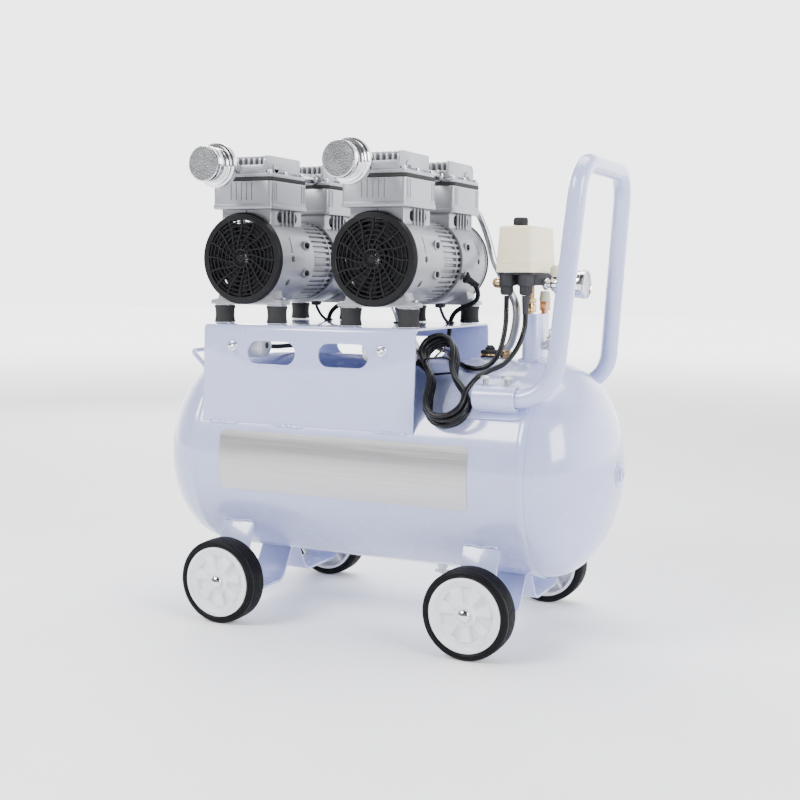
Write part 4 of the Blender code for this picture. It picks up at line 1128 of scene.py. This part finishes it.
def make_filter(side, x):
    at = (x - 14.0, 0, 648.6)
    cap = turned([(0, 206.95), (22.6, 206.95), (23.6, 206.4), (23.9, 205.4), (0, 205.4)], at,
                 "front", 72)
    body = turned([(22.6, 206.5), (24.1, 206.3), (24.5, 205.0), (24.5, 201.6), (24.0, 201.0),
                   (24.5, 200.4), (24.5, 187.0), (23.6, 185.2), (22.4, 184.2), (27.2, 183.8),
                   (28.0, 183.0), (28.0, 179.6), (29.2, 178.6), (30.4, 177.4), (30.7, 176.4),
                   (30.7, 169.0), (30.2, 167.6), (27.5, 164.6), (19, 156.0), (12.6, 149.6),
                   (11.4, 147.6), (11.2, 140), (0, 140), (0, 206.0)], at, "front", 96)
    nut = moved(hexagon(21, 131.6, 140.5, (0, 0, 0), "front", 1.0), at)
    piece(f"silencer_{side}", [(cap, "hammered"), (merged([body, nut]), "chrome")],
          stands_for=(f"pump_{side}_intake_filter",), angle=28)


def make_mounts(side, x):
    for index, (right, back) in enumerate(((-1, -1), (1, -1), (-1, 1), (1, 1)), 1):
        at = (x + right * 44, back * 110, 0)
        rubber = turned([(0, 454.6), (14.4, 454.6), (15.0, 454.0), (15.0, 451.6), (14.4, 450.6),
                         (13.8, 446), (13.6, 441), (14.0, 436), (14.8, 432.0), (15.0, 431.4),
                         (15.0, 430.4), (0, 430.4)], at, "Z", 48)
        metal = [rod(14.2, 454.4, 456.0, at, "Z", 40, 0.4), rod(14.2, 429.0, 430.6, at, "Z", 40,
                                                                0.4)]
        piece(f"rubber_mount_{side}_{index}", [(rubber, "black_rubber"), (merged(metal), "zinc")],
              stands_for=(f"mount_{side}_{index}",))


def make_pumps():
    for side, x in PUMP_X.items():
        for face in ("front", "rear"):
            shapes, bolts = casting(x, face)
            parts = [(merged(shapes), "casting"), (merged(bolts), "zinc")]
            if face == "rear":
                parts.append((grille(x, "back", 65.0, 8.7), "fan_plastic"))
            piece(f"casting_{face}_{side}", parts, stands_for=(f"pump_{side}_{face}_casting",),
                  angle=30)
            make_head(side, x, face)
        piece(f"fan_guard_{side}", [(grille(x, "front", 65.0, 8.7), "fan_plastic")],
              stands_for=(f"pump_{side}_fan_cover",))
        make_stator(side, x)
        make_rotor(side, x)
        make_filter(side, x)
        make_mounts(side, x)


# ---------------------------------------------------------------- handle and its bracket

def make_handle():
    half = [(187.0, -SOCKET_Y, SOCKET_Z), (287.0, -SOCKET_Y, SOCKET_Z), (311.0, -105.0, 646.0)]
    corners = half + [(x, -y, z) for x, y, z in reversed(half)]
    path = even(fillet(corners, (52, 42, 42, 52), 16), 5.0)
    piece("handle", [(sweep(path, 12.3, 40), "paint")], "handle_body", ("handle",),
          50)


def make_bracket():
    saddle = curved_sheet(133, 250, 32, 148, 151.7, 2.7, 15, 40, 60)
    shapes = [saddle]
    for side in (-1, 1):
        at = (0, side * SOCKET_Y, SOCKET_Z)
        shapes.append(turned([(0, 182), (16, 182), (17, 183), (17, 239.3), (16.3, 240), (13.6, 240),
                              (13, 239.4), (13, 186), (0, 186)], at, "X", 64))
        for edge, seed in ((-3.9, 20), (3.9, 21)):
            a = math.radians(40.5 + edge)
            y, z = side * 154.0 * math.cos(a), TANK_Z + 154.0 * math.sin(a)
            shapes.append(weld([(184 + i * 5, y, z) for i in range(12)], 2.3, seed))
    for x, seed in ((132.6, 31), (250.4, 32)):
        for start, end in ((36, 52), (74, 106), (128, 144)):
            line = arc(151.0, start, end, 24)
            shapes.append(weld([(x, y, TANK_Z + z) for y, z in line], 1.9, seed + start))
    piece("handle_bracket", [(merged(shapes), "paint")], stands_for=("handle_bracket",),
          angle=40)
    for index, (side, x) in enumerate(((s, x) for s in (-1, 1) for x in (196, 226)), 1):
        at = (x, side * SOCKET_Y, 0)
        threads = [p for i in range(9) for p in ((3.9, 366.6 - i * 1.2), (3.3, 366.0 - i * 1.2))]
        shapes = [turned([(0, 367.2), *threads, (3.3, 354.9), (0, 354.9)], at, "Z", 28),
                  turned([(0, 371), (4.4, 371), (6.2, 370.4), (7.2, 369.2), (7.2, 367.2),
                          (6.6, 366.7),
                          (4.2, 366.4), (0, 366.4)], at, "Z", 40)]
        piece(f"clamp_screw_{index}", [(merged(shapes), "steel")], f"screw_{index}",
              (f"clamp_screw_{index}",))


# ---------------------------------------------------------------- switch and air outlet

def ridged(radius, depth, count):
    """A round outline with shallow grip ridges."""
    outline = []
    for i in range(count):
        a = 360.0 * i / count
        p = 360.0 / count
        outline += arc(radius, a, a + p * 0.5, 2) + arc(radius - depth, a + p * 0.66, a + p * 0.84,
                                                        1)
    return outline


def make_column():
    column = plate([rectangle((-13, -26), (13, 26), 9, 8)], 71, (220, 0, 413.5), "XY", bevel=1.6)
    column = boolean(column, [rod(153.2, 150, 300, (0, 0, TANK_Z), "X", 160)])
    line = [(206.2, -27), (206.2, 27), (233.8, 27), (233.8, -27), (206.2, -27)]
    bead = [Vector((x, y, 0)) for x, y in line]
    bead = [(p.x, p.y, TANK_Z + math.sqrt(153.6 ** 2 - p.y ** 2)) for p in even(bead, 4.0)]
    body = merged([column, weld(bead, 2.6, 40)])
    nipple = [hexagon(17.0, 451.0, 462.4, (212, -4, 0), "Z", 0.9),
              rod(6.0, 445, 487.6, (212, -4, 0)),
              turned([(0, 470), (8.4, 470), (9.0, 469.4), (9.0, 464.6), (8.0, 463.4), (0, 463.4)],
                     (212, -4, 0))]
    threads = [turned([(6.5, z + 0.7), (6.0, z), (6.5, z - 0.7), (5.6, z - 0.7), (5.6, z + 0.7)],
                      (212, -4, 0), "Z", 32, closed=True) for z in (472, 474, 476, 478, 480, 482, 484)]
    port = [hexagon(14.0, 453.5, 466, (227, 16, 0), "Z", 0.8), rod(5.0, 445, 456, (227, 16, 0))]
    cone = turned([(0, 480), (5.6, 480), (6.5, 479.4), (7.8, 469), (8.0, 467), (7.4, 466),
                   (0, 466)],
                  (227, 16, 0), "Z", 40)
    valve = [rod(4.5, 230, 244, (0, -8, 406), "X", 24),
             hexagon(11, 233.4, 238.4, (0, -8, 406), "X"),
             turned([(0, 414), (5.2, 414), (6, 413.2), (6, 410), (5.2, 409.2), (5.2, 405), (6, 404),
                     (6, 400.8), (5.2, 400), (0, 400)], (244, -8, 0), "Z", 36),
             hexagon(10.6, 405.2, 408.8, (244, -8, 0))]
    piece("manifold_column", [(body, "paint"), (merged(nipple + threads), "brass"),
                              (merged(port), "copper"), (cone, "cream"), (merged(valve), "steel")],
          stands_for=("manifold_column",))
    stem = [turned([(0, 418.5), (4.4, 418.5), (5.2, 417.8), (5.2, 414.8), (0, 414.8)],
                   (244, -8, 0))]
    ring = turned([(5.0 + 1.15 * math.cos(a), 1.15 * math.sin(a))
                   for a in (2 * math.pi * i / 12 for i in range(12))], (244, -8, 423.3), "X", 48,
                  closed=True)
    piece("safety_valve", [(merged([*stem, ring]), "brass")], "safety_valve_body",
          ("safety_valve",))


def cover_ring(scale_x, scale_y, z, shrink, radius):
    """One level of the switch cover: a round-cornered rectangle."""
    half_x, half_y = 26.75 * scale_x - shrink, 52.0 * scale_y - shrink
    return [(204 + x, y, z) for x, y in rectangle((-half_x, -half_y), (half_x, half_y), radius, 8)]


def make_cover():
    low, top = 505.6, 568.3

    def level(z, shrink=0.0, radius=5.0):
        t = (z - low) / (top - low)
        return cover_ring(1 - 0.13 * t, 1 - 0.08 * t, z, shrink, radius)

    rings = [level(low, 0.5), level(low + 0.5), level(low + 10.4), level(low + 11.0, 0.7),
             level(low + 11.6, 0.7), level(low + 12.2)]
    rings += [level(z) for z in (525, 535, 545, 555)]
    edge = 4.0
    rings += [level(top - edge + edge * math.sin(a), edge * (1 - math.cos(a)) * 0.999,
                    5.0 - 2.5 * i / 8)
              for i, a in ((i, math.pi / 2 * i / 8) for i in range(9))]
    rings.append(level(top, 14.0, 1.5))
    shape = bmesh.new()
    rows = [[shape.verts.new(p) for p in ring] for ring in rings]
    for lower, upper in zip(rows, rows[1:]):
        for i in range(len(lower)):
            j = (i + 1) % len(lower)
            shape.faces.new((lower[i], lower[j], upper[j], upper[i]))
    shape.faces.new(rows[-1])
    bmesh.ops.recalc_face_normals(shape, faces=shape.faces)
    thing = temporary(shape)
    shell = thing.modifiers.new("Solidify", "SOLIDIFY")
    shell.thickness = 2.2
    shell.offset = -1.0
    shape = boolean(baked(thing), [rod(5.6, top - 10, top + 4, (202, -20, 0), "Z", 32)])
    raised = plate([rectangle((-15, -7), (15, 17), 3), rectangle((-13.6, -5.6), (13.6, 15.6), 2)],
                   0.5,
                   (202, 20, top + 0.1), "XY")
    piece("switch_cover", [(merged([shape, raised]), "ivory")], stands_for=("switch_cover",),
          angle=32)


def make_switch():
    base = [plate([rectangle((-22, -27), (25, 46), 5, 6)], 17.2, (204, 0, 496.7), "XY", bevel=1.2),
            plate([rectangle((-24, -48), (25.6, 48), 5, 6)], 3.0, (204, 0, 503.7), "XY", bevel=0.5)]
    base += [box((228.6, y - 1.0, 490), (229.5, y + 1.0, 503.5),
                 0.3) for y in (-22, -16, 22, 28, 34, 40)]
    for x, y in GLANDS:
        base.append(turned([(0, 503), (10.6, 503), (10.9, 500), (10.9, 487.6), (10.2, 486.6),
                            (0, 486.6)],
                           (x, y, 0), "Z", 10))
        base.append(plate([ridged(8.9, 0.8, 16)], 8.8, (x, y, 482.3), "XY", bevel=0.25))
        base.append(turned([(0, 478.2), (8.4, 478.2), (8.2, 476.4), (6.2, 474.6), (0, 474.4)],
                           (x, y, 0),
                           "Z", 36))
    screws = [turned([(0, 489.4), (3.2, 489.4), (3.6, 488.7), (3.6, 487.6), (0, 487.6)],
                     (204 + dx, dy, 0),
                     "Z", 24) for dx in (-14, 17) for dy in (-12, 26)]
    brass = [turned([(0, 161.4), (3.4, 161.8), (6.2, 164), (7.2, 167.4), (7.4, 170), (7.4, 173.5),
                     (0, 173.5)], (0, -16, 491), "X", 40),
             hexagon(16, 173.0, 178.0, (0, -16, 491), "X"), rod(5.6, 177, 184, (0, -16, 491), "X",
                                                                32)]
    piece("switch_base", [(merged(base), "black_plastic"), (merged(screws), "zinc"),
                          (merged(brass),
                           "brass")], stands_for=("switch_base",))
    make_cover()
    knob = [plate([ridged(10.0, 0.9, 22)], 8.6, (202, -20, 574.0), "XY", bevel=0.4),
            turned([(0, 579.6), (7.6, 579.6), (8.0, 580.2), (8.8, 580.0), (9.4, 578.2), (9.4, 577),
                    (0, 577)], (202, -20, 0), "Z", 48),
            rod(5.0, 548.3, 570.4, (202, -20, 0), "Z", 32)]
    piece("switch_knob", [(merged(knob), "black_plastic")], "pressure_switch_knob",
          ("switch_knob",))


def letters(text, height):
    """Raised figures for the dial, centred on their origin."""
    words = bpy.data.curves.new("figures", "FONT")
    words.body = text
    words.size = height
    words.extrude = 0.04
    words.align_x = "CENTER"
    words.align_y = "CENTER"
    thing = bpy.data.objects.new("figures", words)
    bpy.context.scene.collection.objects.link(thing)
    return baked(thing)


def make_outlet():
    at = (0, 0, 490)
    body = [turned([(0, 273.7), (5, 273.7), (5, 262.4), (8.6, 262), (10.2, 260.6), (10.5, 259.4),
                    (10.5, 244.6), (10.2, 243.4), (8.6, 242), (6, 241.6), (6, 229.3), (0, 229.3)], at,
                   "X", 56),
            hexagon(15, 230.4, 236.8, at, "X", 0.8), hexagon(12.4, 266.4, 272.6, at, "X", 0.7),
            rod(8.6, 497, 500.5, (252, 0, 0), "Z", 40, 0.6),
            turned([(0, 476.6), (5.2, 476.6), (6.4, 478), (7, 481), (0, 481)][::-1], (252, 0, 0),
                   "Z", 40)]
    piece("regulator_body", [(merged(body), "chrome")], stands_for=("regulator_body",))
    low = 500.8
    knob = [plate([ridged(12.3, 0.9, 26)], 10.4, (252, 0, low + 7.0), "XY", bevel=0.4),
            turned([(0, low + 15), (9.4, low + 15), (10.6, low + 14.2), (11.3, low + 12),
                    (11.3, low + 1.2),
                    (10.4, low), (0, low)], (252, 0, 0), "Z", 56)]
    piece("regulator_knob", [(merged(knob), "cream")], "regulator_knob_body", ("regulator_knob",))
    case = turned([(16.6, 291.0), (17.2, 292.4), (18.0, 293.0), (19.0, 292.4), (19.5, 291.2),
                   (19.5, 285.6),
                   (18.9, 284.8), (18.9, 276.6), (17.6, 274.6), (16.4, 274), (0, 274), (0, 288.6),
                   (16.6, 288.6)], at, "X", 72)
    dial = rod(16.5, 288.0, 289.0, at, "X", 64)
    marks, arrow = [], []
    facing = Matrix.Rotation(math.pi / 2, 4, "Z") @ Matrix.Rotation(math.pi / 2, 4, "X")
    for i in range(41):
        a = math.radians(225 - 270 * i / 40)
        long = i % 5 == 0
        tick = box((12.2 if long else 13.6, -0.28 if long else -0.14, 289.0),
                   (15.2, 0.28 if long else 0.14, 289.25))
        tick = moved(tick, (0, 0, 0), Matrix.Rotation(a, 4, "Z"))
        marks.append(moved(tick, (0, 0, -289.0)))
    for i in range(0, 9, 2):
        a = math.radians(225 - 270 * i / 8)
        marks.append(moved(letters(str(2 * i), 4.2), (9.2 * math.cos(a), 9.2 * math.sin(a), 0.1)))
    arrow.append(moved(box((-4, -0.42, 0.5), (12.4, 0.42, 0.9), 0.2), (0, 0, 0),
                       Matrix.Rotation(math.radians(225), 4, "Z")))
    arrow.append(rod(1.9, 0.3, 1.5, (0, 0, 0), "Z", 24, 0.3))
    marks = moved(merged(marks), (289.0, 0, 490), facing)
    arrow = moved(merged(arrow), (289.0, 0, 490), facing)
    glass_disc = rod(17.0, 291.2, 291.7, at, "X", 64)
    piece("pressure_gauge", [(case, "chrome"), (dial, "dial"), (marks, "ink"), (arrow, "red"),
                             (glass_disc, "glass")], stands_for=("pressure_gauge",))


def make_drain():
    low = 83.0
    body = [turned([(0, low + 4), (5.4, low + 4), (5.4, low - 0.6), (7.0, low - 0.8),
                    (0, low - 0.8)],
                   (84.5, 0, 0), "Z", 40),
            hexagon(14, low - 9, low - 0.8, (84.5, 0, 0)),
            turned([(0, low - 8), (5, low - 8), (4.6, low - 10.5), (5, low - 11), (5, low - 16.4),
                    (4.4, low - 17), (0, low - 17)], (84.5, 0, 0), "Z", 40)]
    wing = plate([obround(24, 5, 8)], 3.2, (84.5, 0, low - 13.5), "XZ", bevel=0.8)
    piece("drain_valve", [(merged([*body, wing]), "steel")], "drain_valve_body", ("drain_valve",))


# ---------------------------------------------------------------- pipes

def braided(points, radius):
    """A hose with a woven sleeve: crossed strands wound both ways on a core."""
    path = even(points, 1.2)
    shape = bmesh.new()
    sides = 20
    normal = (path[1] - path[0]).orthogonal().normalized()
    rings = []
    for i, point in enumerate(path):
        tangent = (path[min(i + 1, len(path) - 1)] - path[max(i - 1, 0)]).normalized()
        normal = (normal - tangent * normal.dot(tangent)).normalized()
        side = tangent.cross(normal)
        ring = []
        for k in range(sides):
            a = 2 * math.pi * k / sides
            lift = 0.32 if (k + i) % 4 < 2 else 0.0
            lift = 0.32 - lift if (k // 2 + i // 2) % 2 else lift
            ring.append(shape.verts.new(point + (normal * math.cos(a) + side * math.sin(a))
                                        * (radius - 0.32 + lift)))
        rings.append(ring)
    for near, far in zip(rings, rings[1:]):
        for k in range(sides):
            shape.faces.new((near[k], near[(k + 1) % sides], far[(k + 1) % sides], far[k]))
    shape.faces.new(rings[0][::-1])
    shape.faces.new(rings[-1])
    bmesh.ops.recalc_face_normals(shape, faces=shape.faces)
    return shape


def make_pipes():
    right, left = PUMP_X["right"], PUMP_X["left"]
    starts = {side: [(x + 24, 134.9, 611), (x + 24, 141, 611), (x + 34, 148, 602),
                     (x + 45, 146, 588)]
              for side, x in PUMP_X.items()}
    routes = {"right": starts["right"] + [(right + 64, 132, 556), (right + 84, 108, 521),
                                          (150, 66, 489),
                                          (180, 26, 462), (184, 19, 436), (179, 15, 408), (172, 12, 396),
                                          (172, 12, 387.4)],
              "left": starts["left"] + [(left + 64, 130, 556), (left + 88, 104, 521),
                                        (-55, 74, 486),
                                        (-22, 46, 456), (-9, 40, 430), (-9, 40, 405), (-9, 40, 379.6)]}
    for side, route in routes.items():
        path = smooth_route(route, 3.0)
        if side == "right":
            split = next(i for i, p in enumerate(path) if p.z < 486 and p.x > 120)
            parts = [(sweep(path[:split + 1], 5.2, 24), "pipe"),
                     (braided(path[split:], 5.6), "braid")]
            ends = [sweep([path[split - 4], path[split]], 6.4, 24),
                    sweep([path[split], path[split + 3]], 6.9, 24)]
            ends += [rod(8.2, 385.6, 388.4, (172, 12, 0), "Z", 36, 0.5),
                     hexagon(15, 388.2, 396, (172, 12, 0))]
            valve = [turned([(0, 401), (5, 400.6), (7, 399), (7, 396.5), (12.4, 395.6),
                             (13.6, 394.2),
                             (13.6, 386.4), (12.6, 385.2), (0, 385.2)], (150, 8, 0), "Z", 48),
                     box((150, 2, 387), (164, 14, 394), 2.0), hexagon(9, 399.6, 402.6, (150, 8, 0))]
            parts.append((merged(valve), "black_plastic"))
            ends.append(turned([(14.2, 390.6), (14.2, 388.4), (13.2, 388.0), (13.2, 391.0)],
                               (150, 8, 0),
                               "Z", 48, closed=True))
        else:
            parts = [(sweep(path, 5.2, 24), "pipe")]
            ends = [hexagon(14, 381, 389, (-9, 40, 0)), rod(8.6, 379.8, 382, (-9, 40, 0), "Z", 32,
                                                            0.4)]
        x = PUMP_X[side] + 24
        ends += [moved(hexagon(14.6, 0, 7.2, (0, 0, 0), "back", 0.8), (x, 134.8, 611)),
                 rod(6.4, 141.2, 144.2, (x + 0.6, 0, 610.4), "back", 28, 0.6)]
        parts.append((merged(ends), "brass"))
        piece(f"discharge_pipe_{side}", parts, stands_for=(f"discharge_pipe_{side}",))
    grommet = turned([(8.9, 430.6), (8.9, 428.9), (7.3, 428.5), (7.3, 425.8), (5.9, 425.4),
                      (5.9, 430.6),
                      (7, 431.2)], (-9, 40, 0), "Z", 32, closed=True)
    piece("pipe_grommet", [(grommet, "black_rubber")])


make_camera()
make_studio()
make_mains()
make_motor_leads()
make_tank()
make_wheels()
make_platform()
make_capacitors()
make_pumps()
make_handle()
make_bracket()
make_column()
make_switch()
make_outlet()
make_drain()
make_pipes()
